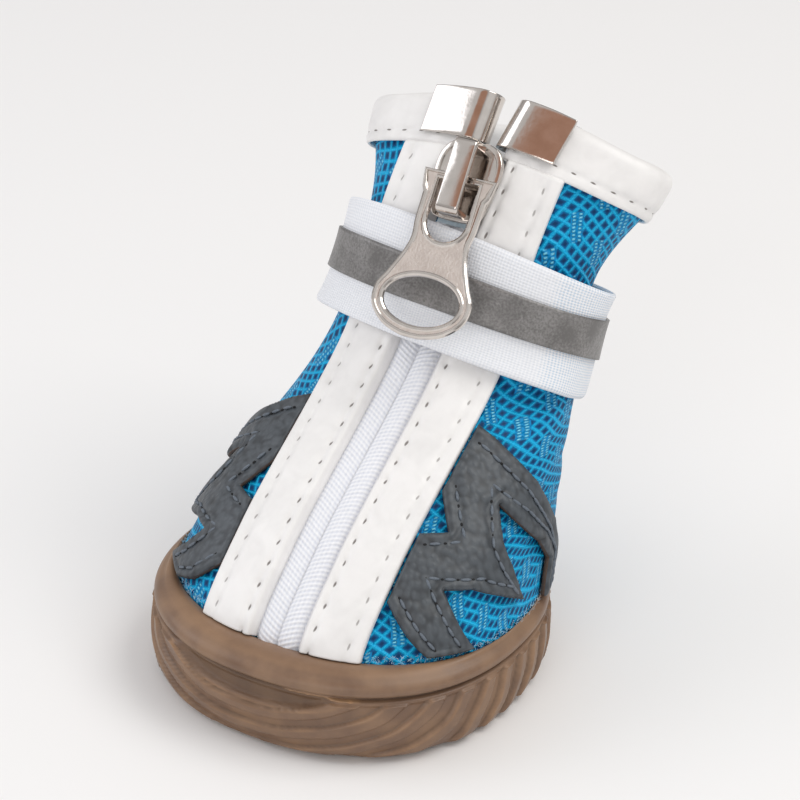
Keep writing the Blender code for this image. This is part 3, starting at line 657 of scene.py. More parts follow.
def makeOutsole():
    # The rubber cup: a round lip, the lens at the toe, the ribs that fan out from it and the torn flash
    user = {
        "columns": 560,
        "relief": 0.6 * mm,
        "lens": (-1.5, 12.5, 2.7),  # its middle, half length and depth, in millimetres
        "ribs": [12.5, 18.5, 23.8, 28.4, 32.4],  # where the first ribs begin, round from the lens's middle
        "pitch": 3.7,  # from there on
        "centre": 2.0,
        "fan": ((6.0, 0.65), (5.02, 0.544)),  # how the ribs lean away at the toe, and further round
        "flash": 0.42 * mm,
        "roll": 0.45 * mm,
        "groove": 0.79,  # its share of the lip's height
        "treadDepth": 2.2 * mm,
        "grooveDepth": 0.8 * mm,
    }
    # share of the lip's height, how far the wall stands back as a share of the depth
    tread = [(0.00, 1.00), (0.05, 0.60), (0.15, 0.30), (0.27, 0.17), (0.40, 0.10), (0.55, 0.12), (0.70, 0.19)]
    under = [(0.765, 0.45), (user["groove"], 1.05), (0.81, 0.75), (0.84, 0.25), (0.88, 0.06)]
    under += [(0.925, 0.18), (0.96, 0.55), (0.985, 1.0), (1.00, 1.45)]
    profile = [(share, depth * user["treadDepth"]) for share, depth in tread]
    profile += [(share, depth * user["grooveDepth"]) for share, depth in under]
    shares = np.linspace(0, 2, user["columns"], endpoint=False)
    across, along = rounded(np.sin(np.pi * shares)), rounded(np.cos(np.pi * shares))
    rings, tornAndHighlit, creased = [], [], []

    def ring(inset, height):
        x = (last["soleWidth"] / 2 - inset) * across
        y = last["soleShift"] - (last["soleLength"] / 2 - inset) * along
        return np.stack((x, y, np.broadcast_to(height, x.shape)), axis=-1)

    def addRing(points, pale=0.0, dark=0.0):
        rings.append(points)
        tornAndHighlit.append(pale + 0 * shares)
        creased.append(dark + 0 * shares)

    outline = ring(0.0, 0.0)
    steps = np.linalg.norm(outline - np.roll(outline, 1, axis=0), axis=1)
    walked = np.cumsum(steps) - steps[0]
    half = steps.sum() / 2
    signed = np.where(walked <= half, walked, walked - 2 * half)
    fromLens = np.abs(signed / mm + user["centre"] * (1 - (signed / half) ** 2))
    starts = np.concatenate((user["ribs"], np.arange(user["ribs"][-1] + user["pitch"], 130, user["pitch"])))
    tornShare = ease(3.2, 4.4, signed / mm) * (1 - ease(10.5, 15.5, signed / mm))
    tornShare = tornShare + 0.5 * ease(-13, -12, signed / mm) * (1 - ease(-9, -8, signed / mm))
    lip = skin(shares, lipLevel)[:, 2]
    for edge in (14.0 * mm, 9.0 * mm, 6.0 * mm, 4.4 * mm):
        addRing(ring(edge, 0.0))
    bands = ((0, 0.1, 6), (0.1, 0.70, 34), (0.70, 0.82, 22), (0.82, 1.0, 14))
    heights = [np.linspace(low, high, count, endpoint=False) for low, high, count in bands]
    for share in np.concatenate(heights + [[1.0]]):
        depth = np.maximum(user["groove"] - 0.005 - share, 0) * lip / mm
        wander = 0.25 * ripple(3, signed / (9 * mm), share * 2)
        leans = [size * depth**power for size, power in user["fan"]]
        aside = ease(14, 34, fromLens)
        reach = np.hypot(fromLens, leans[0] * (1 - aside) + leans[1] * aside) + wander
        row = np.clip(np.searchsorted(starts, reach) - 1, 0, len(starts) - 2)
        past, width = reach - starts[row], starts[row + 1] - starts[row]
        rib = np.clip(past / 0.35, 0, 1) * (1 - 0.4 * past / width)
        rib = rib * (1 - ease(0.0, 0.5, past - 0.52 * width))
        rib = np.where(reach > starts[0], rib, 0.35)
        rib = rib * ease(0.02, 0.10, share) * (1 - ease(0.725, 0.75, share))
        lensMiddle, lensHalf, lensDepth = user["lens"]
        fromMiddle = np.hypot((signed / mm - lensMiddle) / lensHalf, depth / lensDepth) + 0.05 * wander
        sunk = (1 - ease(0.82, 1.0, fromMiddle)) * (1 - ease(0.765, user["groove"], share))
        torn = np.exp(-(((share - 0.775) / 0.012) ** 2)) * tornShare
        ragged = 0.55 + 0.45 * ripple(5, signed / (1.1 * mm)) * ripple(6, signed / (2.7 * mm))
        out = user["relief"] * (rib * (1 - sunk) - 1.2 * sunk) + user["flash"] * torn * ragged
        walls = ease(0.05, 0.15, share) * (1 - ease(0.73, 0.76, share)) * (1 - sunk)
        ridge = np.exp(-(((past - 0.4) / 0.35) ** 2)) * (reach > starts[0]) * walls
        edge = np.exp(-(((fromMiddle - 1.03) / 0.04) ** 2)) * (depth > 0.3)
        foot = np.exp(-(((width - past) / 0.3) ** 2)) + np.exp(-(((past + 0.1) / 0.3) ** 2)) * (past < 0.2)
        foot = np.clip(foot, 0, 1) * (reach > 4) * walls
        # Painted highlight along the ribs' raised edges and round the lens rim, its strength wandering a
        # little
        paintedHighlight = (0.3 * ridge + 0.4 * edge) * (0.6 + 0.4 * ripple(8, signed / (4 * mm), share * 5))
        inGroove = np.exp(-(((share - user["groove"]) / 0.012) ** 2)) * (1 - tornShare)
        # Painted shade at the ribs' feet, in the lens recess (deepest towards its middle) and in the groove
        # under the lip, except where the flash is torn
        dark = 0.4 * foot + 0.35 * sunk + 0.25 * sunk * (1 - fromMiddle) + 0.8 * inGroove
        wall = ring(float(eased(profile, share)[0]) - out, share * lip)
        addRing(wall, np.clip(1.1 * torn * ragged + paintedHighlight, 0, 1), np.clip(dark, 0, 1))
    outer, inner = rings[-1], offSkin(shares, lipLevel, gap + 0 * shares)
    rise = np.minimum(0.25 * np.linalg.norm(inner - outer, axis=1), user["roll"])
    # The lip's rounded top, painted a little paler as highlight
    for t in (0.15, 0.3, 0.5, 0.7, 0.85, 0.95):
        rolled = outer * (1 - t) + inner * t
        rolled[:, 2] += rise * 4 * t * (1 - t)
        addRing(rolled, 0.12)
    for level in np.linspace(lipLevel, 0.0, 8):
        addRing(offSkin(shares, level, gap + 0 * shares))
    rings[-1][:, 2] = last["floorHeight"]
    rows, columns = len(rings), user["columns"]
    middles = [[0, last["soleShift"], 0.0], [0, rings[-1][:, 1].mean(), last["floorHeight"]]]
    points = np.vstack(rings + [middles])
    faces = gridFaces(rows, columns, around=True).tolist()
    beside = (np.arange(columns) + 1) % columns
    faces += [[rows * columns, beside[i], i] for i in range(columns)]
    top = (rows - 1) * columns
    faces += [[rows * columns + 1, top + i, top + beside[i]] for i in range(columns)]
    values = {"tornAndHighlit": np.concatenate(tornAndHighlit + [[0, 0]]), "creased": np.concatenate(creased + [[0, 0]])}
    mesh = makeMesh("outsole", points, faces, values=values)
    outwards(mesh)
    return finishPiece(makeObject("rubberOutsole", mesh, gumRubber), "gum_rubber", "outsole")


def clothUv(shares, levels):
    # The mesh is cut so that its columns lean away from the zip, alike on both sides
    lean = math.radians(22)
    around = distanceAt(shares, levels)
    up, aside = riseAt(around, levels), np.abs(around)
    columns = np.copysign(aside * math.cos(lean) + up * math.sin(lean), around)
    return np.stack((columns, up * math.cos(lean) - aside * math.sin(lean)), axis=-1) / mm


def makeUpper():
    # One mesh wall from the cup to the collar, open at the zip, with soft troughs where the empty shaft gives
    user = {"rows": 120, "columns": 260, "troughDepth": 0.4 * mm}
    levels = np.linspace(0.0, upperTop, user["rows"])[:, None]
    slot = zipSizes["chainWidth"] / 2 + gap
    first = shareAt(slot, levels)
    shares = first + (2.0 - 2 * first) * np.linspace(0, 1, user["columns"])[None, :]
    levels = levels + 0 * shares
    around = distanceAt(shares, levels)
    up = riseAt(around, levels)
    trough = 0.5 + 0.5 * ripple(11, around / (16 * mm), up / (9 * mm))
    trough = trough * ease(0.16, 0.24, levels) * (1 - ease(0.9, 0.95, levels))
    outer = offSkin(shares, levels, -user["troughDepth"] * trough)
    inner = offSkin(shares, levels, -wall - 0.5 * user["troughDepth"] * trough)
    made = slab("meshUpper", outer, inner, clothUv(shares, levels), (knit, lining))
    index = np.zeros(len(made.data.polygons), np.int32)
    count = (user["rows"] - 1) * (user["columns"] - 1)
    index[count : 2 * count] = 1
    made.data.polygons.foreach_set("material_index", index)
    return finishPiece(made, "blue_mesh", "upper")


def stitchTree():
    # One small spindle at every guide point, turned along its direction: a stitch's thread, or a dark spindle
    # of painted shade at a needle hole
    tree = bpy.data.node_groups.new("stitchRow", "GeometryNodeTree")
    for name, kind in (("Geometry", "Geometry"), ("Size", "Vector"), ("Finish", "Material")):
        tree.interface.new_socket(name, in_out="INPUT", socket_type=f"NodeSocket{kind}")
    tree.interface.new_socket("Geometry", in_out="OUTPUT", socket_type="NodeSocketGeometry")
    given = tree.nodes.new("NodeGroupInput").outputs
    spindle = addNode(tree, "GeometryNodeMeshUVSphere", {"Segments": 8, "Rings": 6, "Radius": 0.5})
    smooth = addNode(tree, "GeometryNodeSetShadeSmooth", {"Geometry": spindle.outputs["Mesh"]})
    along = addNode(tree, "GeometryNodeInputNamedAttribute", {"Name": "along"}, data_type="FLOAT_VECTOR")
    turned = addNode(tree, "FunctionNodeAlignRotationToVector", {"Vector": along.outputs[0]}, axis="X")
    links = {"Points": given["Geometry"], "Instance": smooth.outputs[0], "Rotation": turned.outputs[0]}
    placed = addNode(tree, "GeometryNodeInstanceOnPoints", {**links, "Scale": given["Size"]})
    real = addNode(tree, "GeometryNodeRealizeInstances", {0: placed.outputs[0]})
    dyed = addNode(tree, "GeometryNodeSetMaterial", {"Geometry": real.outputs[0], "Material": given["Finish"]})
    tree.links.new(dyed.outputs[0], tree.nodes.new("NodeGroupOutput").inputs[0])
    return tree


def lineMesh(name, lines):
    mesh = bpy.data.meshes.new(name)
    points, edges = [], []
    for line in lines:
        start = len(points)
        points += np.asarray(line).tolist()
        edges += [(start + i, start + i + 1) for i in range(len(line) - 1)]
    mesh.from_pydata(points, edges, [])
    return mesh


def runTree(tree, name, mesh, finish, **inputs):
    # Runs a node tree on a mesh of guide lines and keeps the plain mesh that it makes
    guide = makeObject(f"{name}Guide", mesh)
    modifier = guide.modifiers.new("run", "NODES")
    modifier.node_group = tree
    for item in tree.interface.items_tree:
        if item.in_out == "INPUT" and item.name in inputs:
            modifier[item.identifier] = inputs[item.name]
    graph = bpy.context.evaluated_depsgraph_get()
    result = bpy.data.meshes.new_from_object(guide.evaluated_get(graph))
    bpy.data.objects.remove(guide)
    result.name = name
    result.materials.clear()
    return makeObject(name, result, finish)


stitches = stitchTree()


def sewRow(name, lines, finish, slotName, size):
    # Guide points at the lines' first ends, each with its direction
    lines = np.array(lines)
    guide = bpy.data.meshes.new(name)
    guide.from_pydata(lines[:, 0].tolist(), [], [])
    along = (lines[:, 1] - lines[:, 0]).astype(np.float32)
    guide.attributes.new("along", "FLOAT_VECTOR", "POINT").data.foreach_set("vector", along.ravel())
    return finishPiece(runTree(stitches, name, guide, finish, Size=size, Finish=finish), slotName)


def makePlacket(side, word):
    # A white strip beside the zip: its free edge turned down into the slot, two stitch rows sewn into grooves
    user = {"columns": 40, "rows": 300, "turnDown": 0.75 * mm, "turnIn": 0.36 * mm, "dent": 0.28 * mm}
    user["tuck"] = 0.9 * mm  # how far its end slims under the binding
    near, width = zipSizes["chainWidth"] / 2 + gap, zipSizes["placketWidth"]
    thickness, pitch = zipSizes["placketThickness"], stripStitches["pitchMm"] * mm
    top = belowCollar(collarSizes["height"] - 0.6 * mm)
    levels = np.linspace(aboveLevel(lipLevel, 0.1 * mm), top, user["rows"])[:, None]
    t = np.linspace(0, 1, user["columns"])[None, :]
    inside = width * (t - 0.45 * np.sin(2 * np.pi * t) / (2 * np.pi)) + 0 * levels
    up = np.interp(levels, levelTable, frontLengths) + 0 * inside
    wave = 0.12 * mm * ripple(21 + side, up / (11 * mm), inside / (9 * mm))
    toEdge = np.minimum(inside, width - inside)
    height = thickness * (0.35 + 0.65 * edgeRound(toEdge, 0.5 * mm)) - 0.12 * mm
    height += wave * edgeRound(toEdge, 1.5 * mm)
    for line, start, strength in stripStitches["rows"]:
        across = inside - line * mm
        phase = (np.mod(up / pitch + start, 1) - 0.5) * pitch
        hole = np.exp(-((across / (0.25 * mm)) ** 2) - (phase / (0.4 * mm)) ** 2)
        pucker = np.exp(-((across / (1.0 * mm)) ** 2)) * np.cos(2 * np.pi * phase / pitch)
        groove = np.exp(-((across / (0.4 * mm)) ** 2))
        height += -0.16 * mm * groove - strength * user["dent"] * hole - 0.05 * mm * pucker
    tucked = ease(0, user["tuck"], up.max() - up)
    outerHeight = 0.2 * mm + (height - 0.2 * mm) * tucked
    innerHeight = 0.02 * mm + (gap - 0.02 * mm) * tucked
    outerHeight = innerHeight + outerHeight

    # Three columns more at the zip's side: over the edge, down it and into the slot
    outerIn, innerIn = inside, inside
    one = np.ones_like(levels)
    turned = (
        (0.06 * mm, 0.0, outerHeight[:, :1] - 0.12 * mm, 0.0),
        (user["turnIn"], 0.04 * mm, 0.05 * mm, 0.0),
        (user["turnIn"], 0.08 * mm, 0.35 * mm - user["turnDown"], 0.3 * mm - user["turnDown"]),
    )
    for outerBack, innerBack, outerRise, innerRise in turned:
        outerIn, innerIn = np.hstack((-outerBack * one, outerIn)), np.hstack((-innerBack * one, innerIn))
        outerHeight = np.hstack((outerRise * one, outerHeight))
        innerHeight = np.hstack((innerRise * one, innerHeight))
    up = up[:, :1] + 0 * outerIn
    levels = levels + 0 * outerIn
    outer = place(side * (near + outerIn), levels, outerHeight)
    inner = place(side * (near + innerIn), levels, innerHeight)
    uv = np.stack((outerIn, up), axis=-1) / mm
    if side < 0:
        outer, inner, uv = outer[:, ::-1], inner[:, ::-1], uv[:, ::-1]
    made = slab(f"placketStrip_{word}", outer, inner, uv, (stripWhite,))
    return finishPiece(made, "white_leather", f"placket_{word}")


def zipFace(levels, across, ridgeHeight):
    # Height of the covered coils: two broad round ridges either side of a groove, with faint slanting ribs
    up = np.interp(levels, levelTable, frontLengths)
    half = zipSizes["chainWidth"] / 2
    part = np.abs(across) / half
    hump = np.sqrt(np.clip(1 - ((part - 0.44) / 0.44) ** 2, 0, 1))
    rib = np.cos(2 * np.pi * (up - 0.5 * np.abs(across)) / (0.62 * mm)) * hump
    return ridgeHeight * hump + 0.016 * mm * rib - 0.1 * mm * ease(0.86, 1.0, part)


def makeChain():
    # The closed zip with its woven cover
    user = {"columns": 41, "rows": 420}
    top = aboveLevel(sliderBottom, -gap)
    levels = np.append(np.linspace(0, lipLevel, 20)[:-1], np.linspace(lipLevel, top, user["rows"]))[:, None]
    across = zipSizes["chainWidth"] / 2 * np.linspace(-1, 1, user["columns"])[None, :] + 0 * levels
    levels = levels + 0 * across
    sunk = 0.3 * mm * (1 - ease(lipLevel - 0.02, lipLevel + 0.02, levels))
    face = zipFace(levels, across, zipSizes["chainRidge"] + 0.3 * mm)
    outer = place(across, levels, face - 0.1 * mm - sunk)
    inner = place(across, levels, 0 * across - zipSizes["chainDepth"])
    slant = np.interp(levels, levelTable, frontLengths) - 0.5 * np.abs(across)
    made = slab("zipChain", outer, inner, np.stack((across, slant), axis=-1) / mm, (zipWeave,))
    return finishPiece(made, "white_tape", "zip_chain")


def makeZipHalf(side, word):
    # One side of the opened zip above the slider: tape, with its covered coil along the free edge
    user = {"columns": 24, "rows": 150}
    near = clipStart(1.0) + collarSizes["clipThickness"] / 2 + 2 * gap
    far = zipSizes["chainWidth"] / 2
    levels = np.linspace(sliderTop, upperTop, user["rows"])[:, None]
    inside = (far - near) * np.linspace(0, 1, user["columns"])[None, :] + 0 * levels
    levels = levels + 0 * inside
    up = np.interp(levels, levelTable, frontLengths)
    ridge = edgeRound(inside, 0.5 * mm) * np.exp(-(((inside - 0.5 * mm) / (0.55 * mm)) ** 2))
    rib = 0.06 * mm * np.cos(2 * np.pi * (up - 0.5 * inside) / (0.66 * mm)) * ridge
    height = 0.3 * mm * ridge + rib - 0.25 * mm
    distance = side * (near + inside)
    outer = place(distance, levels, height)
    inner = place(distance, levels, 0 * distance - zipSizes["chainDepth"])
    uv = np.stack((inside / mm, up / mm), axis=-1)
    if side < 0:
        outer, inner, uv = outer[:, ::-1], inner[:, ::-1], uv[:, ::-1]
    made = slab(f"zipTape_{word}", outer, inner, uv, (zipWeave,))
    return finishPiece(made, "white_tape", f"zip_half_{word}")


overlay = {
    "reach": 45.0 * mm,
    "thickness": 0.9 * mm,
    "cell": 0.3 * mm,
    "drop": 1.7 * mm,  # the panel on the -X side is sewn this much lower
    "stitchIn": 1.25 * mm,
    "pitch": 2.1 * mm,
    "stitch": (1.45 * mm, 0.42 * mm, 0.40 * mm),
    "hole": (0.5 * mm, 0.36 * mm, 0.3 * mm),
    # runs of the outline that are sewn, from corner to corner
    "sewn": [(0, 7), (8, 12), (12, 15), (15, 18), (18, 20), (21, 23), (24, 25), (25, 26)],
    # distance round from the placket as a share of the reach, level
    "outline": [
        (0.000, 0.475), (0.084, 0.462), (0.198, 0.440), (0.344, 0.410), (0.511, 0.368), (0.635, 0.335),
        (0.838, 0.260), (1.000, 0.151), (0.869, 0.151), (0.758, 0.250), (0.573, 0.308), (0.362, 0.355),
        (0.225, 0.384), (0.322, 0.335), (0.428, 0.290), (0.608, 0.207), (0.459, 0.236), (0.291, 0.264),
        (0.176, 0.268), (0.260, 0.225), (0.401, 0.151), (0.216, 0.151), (0.115, 0.195), (0.000, 0.248),
        (0.000, 0.345), (0.097, 0.349), (0.000, 0.396),
    ],  # fmt: skip
}
overlayNear = zipSizes["chainWidth"] / 2 + 2 * gap + zipSizes["placketWidth"]


def overlayCorners(side):
    reach = overlay["reach"] - overlayNear
    drop = overlay["drop"] if side < 0 else 0.0
    foot = min(level for share, level in overlay["outline"]) * frontTop
    corners = [(share * reach, max(level * frontTop - drop, foot)) for share, level in overlay["outline"]]
    return np.array(corners)


def turnsInward(loop, ahead):
    # Directions square to those along a flat closed outline, towards its inside
    area = np.sum(loop[:, 0] * np.roll(loop[:, 1], -1) - loop[:, 1] * np.roll(loop[:, 0], -1))
    return np.sign(area) * np.stack((-ahead[:, 1], ahead[:, 0]), axis=1)


def toLine(points, first, second):
    # Distance of flat points from a straight piece
    along = second - first
    t = np.clip(((points - first) @ along) / (along @ along), 0, 1)
    return np.linalg.norm(points - first - t[:, None] * along, axis=1)


def flatOverlay(corners):
    flat = bmesh.new()
    verts = [flat.verts.new((x, y, 0)) for x, y in corners]
    edges = [flat.edges.new(pair) for pair in zip(verts, verts[1:] + verts[:1])]
    bmesh.ops.triangle_fill(flat, use_beauty=True, use_dissolve=False, edges=edges)
    low, high = corners.min(axis=0), corners.max(axis=0)
    for axis in (0, 1):
        for cut in np.arange(low[axis] + overlay["cell"] / 3, high[axis], overlay["cell"]):
            point, normal = [0, 0, 0], [0, 0, 0]
            point[axis], normal[axis] = cut, 1
            everything = flat.verts[:] + flat.edges[:] + flat.faces[:]
            bmesh.ops.bisect_plane(flat, geom=everything, plane_co=point, plane_no=normal)
    bmesh.ops.recalc_face_normals(flat, faces=flat.faces)
    if sum(face.normal.z for face in flat.faces) < 0:
        bmesh.ops.reverse_faces(flat, faces=flat.faces[:])
    flat.verts.index_update()
    points = np.array([v.co.xy for v in flat.verts])
    faces = [[v.index for v in face.verts] for face in flat.faces]
    outerLoops = [loop for face in flat.faces for loop in face.loops if loop.edge.is_boundary]
    rim = [[loop.vert.index, loop.link_loop_next.vert.index] for loop in outerLoops]
    flat.free()
    return points, faces, rim


def makeOverlay(side, word):
    # A grained zigzag panel with a rounded cut edge, pressed down along its stitches
    corners = overlayCorners(side)
    points, faces, rim = flatOverlay(corners)
    pairs = list(zip(corners, np.roll(corners, -1, axis=0)))
    toEdge = np.min([toLine(points, a, b) for a, b in pairs], axis=0)
    free = np.min([toLine(points, a, b) for a, b in pairs if a[0] > 0 or b[0] > 0], axis=0)
    groove = np.exp(-(((free - overlay["stitchIn"]) / (0.4 * mm)) ** 2))
    height = overlay["thickness"] * (0.55 + 0.45 * edgeRound(toEdge, 0.4 * mm)) - 0.2 * mm * groove
    wave = ripple(31 + side, points[:, 0] / (5 * mm), points[:, 1] / (4 * mm))
    height += 0.1 * mm * wave * edgeRound(toEdge, 2 * mm)
    distance, levels = side * (overlayNear + points[:, 0]), points[:, 1] / frontTop
    top, under = place(distance, levels, gap + height), place(distance, levels, gap + 0 * height)
    count = len(points)
    rimFaces = [[b, a, a + count, b + count] for a, b in rim]
    facesAll = faces + [[i + count for i in face[::-1]] for face in faces] + rimFaces
    if side < 0:
        facesAll = [face[::-1] for face in facesAll]
    mesh = makeMesh(f"overlay{word}", np.vstack((top, under)), facesAll, np.vstack((points, points)) / mm)
    made = makeObject(f"sidePanel_{word}", mesh, greyCoated, cutEdge)
    index = np.zeros(len(facesAll), np.int32)
    index[-len(rimFaces) :] = 1
    mesh.polygons.foreach_set("material_index", index)
    return finishPiece(made, "grey_leather", f"side_overlay_{word}")


def sewOverlay(side, word):
    # The stitch row that follows the panel's free edges, a little inside them, with dark spindles of painted
    # shade at the needle holes between
    corners = overlayCorners(side)
    inward = turnsInward(corners, unit(np.roll(corners, -1, axis=0) - corners))
    before = np.roll(inward, 1, axis=0)
    mitre = (inward + before) / np.maximum(1 + np.sum(inward * before, axis=1), 0.16)[:, None]
    shifted = corners + overlay["stitchIn"] * mitre
    threads, holes = [], []
    for first, final in overlay["sewn"]:
        line = shifted[first : final + 1]
        walked = np.concatenate(([0], np.cumsum(np.linalg.norm(np.diff(line, axis=0), axis=1))))
        count = max(int(round(walked[-1] / overlay["pitch"])), 1)
        middles = ((threads, np.arange(count) + 0.5, 0.08 * mm), (holes, np.arange(count + 1), 0.2 * mm))
        for lines, steps, lift in middles:
            for middle in steps * walked[-1] / count:
                both = (middle, middle + 0.2 * mm)
                ends = np.array([[np.interp(at, walked, line[:, axis]) for axis in (0, 1)] for at in both])
                if both[1] > walked[-1]:
                    ends[1] = ends[0] + 0.2 * mm * unit(line[-1] - line[-2])
                if ends[0][0] > 0.5 * mm and ends[0][1] < corners[0][1] + 1 * mm:
                    height = gap + overlay["thickness"] - lift + 0 * ends[:, 0]
                    lines.append(place(side * (overlayNear + ends[:, 0]), ends[:, 1] / frontTop, height))
    sewRow(f"panelStitches_{word}", threads, greyThread, "grey_leather", overlay["stitch"])
    return sewRow(f"panelNeedleHoles_{word}", holes, holeShade, "grey_leather", overlay["hole"])


def makeBinding():
    # A white strip folded over the collar's edge, gathered a little between its stitches
    user = {"columns": 460, "rows": 64, "stitchUp": 1.5 * mm, "pitch": collarStitches["pitchMm"] * mm}
    thickness = collarSizes["thickness"]
    front = gap + thickness / 2
    back = front - foldDepth
    leg = np.linspace(1, 0, user["rows"] // 2 - 8)
    downs = list(foldRise + (collarSizes["height"] - foldRise) * leg)
    course = [(down, front) for down in downs]
    for angle in np.linspace(0, np.pi, 18)[1:-1]:
        out = (front + back) / 2 + (front - back) / 2 * np.cos(angle)
        course.append((foldRise * (1 - np.sin(angle) ** 0.9), out))
    course += [(down, back) for down in downs[::-1]]
    course = np.array(course)
    levels = np.interp(frontTop - course[:, 0], frontLengths, levelTable)[:, None]
    first = shareAt(clipStart(levels) + 0.75 * foldDepth, levels)
    shares = first + (2.0 - 2 * first) * np.linspace(0, 1, user["columns"])[None, :]
    levels = levels + 0 * shares
    middle = course[:, 1][:, None] + 0 * shares
    around = distanceAt(shares, levels)
    down = course[:, 0][:, None] + 0 * shares
    steps = np.linalg.norm(np.diff(course, axis=0), axis=1)
    walked = np.append(0, np.cumsum(steps))[:, None] + 0 * shares
    toLower = np.minimum(walked, walked.max() - walked)
    stitchLine = toLower - user["stitchUp"]
    groove = np.exp(-((stitchLine / (0.5 * mm)) ** 2))
    phase = np.mod(around, user["pitch"]) - user["pitch"] / 2
    pucker = np.exp(-((stitchLine / (1.1 * mm)) ** 2)) * np.cos(2 * np.pi * phase / user["pitch"])
    soft = ripple(41, around / (13 * mm), walked / (8 * mm)) * edgeRound(toLower, 2 * mm)
    frontSide = ease(-0.2, 0.4, (middle - back) / (front - back) - 0.5)
    fine = ripple(43, around / (3.1 * mm), walked / (5 * mm)) * np.exp(-((stitchLine / (1.6 * mm)) ** 2))
    relief = -0.16 * mm * groove + 0.08 * mm * pucker + 0.14 * mm * soft + 0.05 * mm * fine - 0.08 * mm
    relief = frontSide * relief
    hole = np.exp(-((stitchLine / (0.22 * mm)) ** 2) - (phase / (0.4 * mm)) ** 2) * frontSide
    relief = relief - 0.2 * mm * hole
    normals = courseNormals(course)
    half = thickness / 2 * (0.5 + 0.5 * edgeRound(toLower, 0.35 * mm))
    grids = []
    for shift in (half + relief, 0 * relief - half):
        moved = course[:, None, :] + shift[..., None] * normals[:, None, :]
        newLevels = np.interp(frontTop - moved[..., 0], frontLengths, levelTable)
        grids.append(offSkin(shares, newLevels, moved[..., 1]))
    uv = np.stack((walked, around), axis=-1) / mm
    made = slab("collarBinding", *grids, uv, (collarWhite,))
    outwards(made.data)
    return finishPiece(made, "white_leather", "collar_binding")


def courseNormals(course):
    # Outward directions along a folded section of (down, out) points, away from the fold's inside
    ahead = np.gradient(course, axis=0)
    normals = unit(np.stack((-ahead[:, 1], ahead[:, 0]), axis=1))
    return normals if normals[0, 1] > 0 else -normals


def makeClip(side, word):
    # A nickel sheet bent round the binding's end
    user = {"across": 14, "bend": 18, "up": 14, "bevel": 0.14 * mm}
    thickness = collarSizes["clipThickness"]
    out = 2 * gap + collarSizes["thickness"] + thickness / 2
    back = -(wall + 3 * gap + collarSizes["thickness"] + thickness / 2)
    radius = (out - back) / 2
    width = collarSizes["clipWidth"]
    course = [(d, out) for d in np.linspace(width, radius, user["across"])]
    for angle in np.linspace(0, np.pi, user["bend"])[1:-1]:
        course.append((radius * (1 - np.sin(angle)), (out + back) / 2 + radius * np.cos(angle)))
    course += [(d, back) for d in np.linspace(radius, width, user["across"])]
    course = np.array(course)
    ends = (belowCollar(down - collarSizes["clipProud"]) for down in (collarSizes["clipHeight"], 0.0))
    levels = np.linspace(*ends, user["up"])
    normals = courseNormals(course)
    grids = []
    for sign in (1, -1):
        moved = course + sign * thickness / 2 * normals
        distance = side * (moved[:, 0][None, :] + clipStart(levels)[:, None])
        grids.append(place(distance, levels[:, None] + 0 * distance, moved[:, 1][None, :] + 0 * distance))
    uv = np.stack(np.broadcast_arrays(course[:, 0][None, :] / mm, levels[:, None] * 60), axis=-1)
    made = slab(f"endClip_{word}", *grids, uv, (polishedNickel,))
    outwards(made.data)
    edges = made.modifiers.new("softEdges", "BEVEL")
    edges.width, edges.segments = user["bevel"], 3
    edges.limit_method, edges.angle_limit = "ANGLE", math.radians(50)
    return finishPiece(made, "nickel", f"clip_{word}")


def slopeFrame(level):
    up = Vector(unit(skin(0.0, level + 0.01) - skin(0.0, level - 0.01)))
    out = Vector(skinOut(0.0, level))
    across = up.cross(out).normalized()
    out = across.cross(up).normalized()
    turn = Matrix((across, up, out)).transposed().to_4x4()
    return Matrix.Translation(Vector(skin(0.0, level))) @ turn


def prism(outline, axis, low, high, bevel=0.0, segments=3):
    # A closed outline pushed along Z, or along X for a side view, with its edges rounded
    shape = bmesh.new()
    ends = []
    for depth in (low, high):
        corners = [(a, b, depth) if axis == "z" else (depth, a, b) for a, b in outline]
        ends.append([shape.verts.new(corner) for corner in corners])
    count = len(outline)
    shape.faces.new(ends[0][::-1])
    shape.faces.new(ends[1])
    for i in range(count):
        j = (i + 1) % count
        shape.faces.new((ends[0][i], ends[0][j], ends[1][j], ends[1][i]))
    bmesh.ops.recalc_face_normals(shape, faces=shape.faces)
    if bevel:
        sharp = [edge for edge in shape.edges if edge.calc_face_angle(0) > math.radians(25)]
        rounding = {"offset": bevel, "segments": segments, "profile": 0.5, "affect": "EDGES"}
        bmesh.ops.bevel(shape, geom=sharp, clamp_overlap=True, **rounding)
    return shape


def gather(name, shapes, finishes, matrix, sharp=40):
    # One object from several bmesh bodies, put in place; each body has its finish's number
    whole = bmesh.new()
    for shape, finish in shapes:
        part = bpy.data.meshes.new("part")
        for face in shape.faces:
            face.material_index = finish
        shape.to_mesh(part)
        shape.free()
        whole.from_mesh(part)
        bpy.data.meshes.remove(part)
    mesh = bpy.data.meshes.new(name)
    whole.to_mesh(mesh)
    whole.free()
    mesh.transform(matrix)
    mesh.shade_smooth()
    made = makeObject(name, mesh, *finishes)
    mesh.set_sharp_from_angle(angle=math.radians(sharp))
    return made


def smoothOutline(points, count, closed=True):
    # A rounder outline through a few corner points
    points = np.array(points, float)
    ring, at = points, np.linspace(0, len(points) - 1, count)
    if closed:
        ring = np.vstack((points[-1:], points, points[:2]))
        at = np.linspace(1, len(points) + 1, count, endpoint=False)
    return eased(np.column_stack((np.arange(len(ring)), ring)), at)


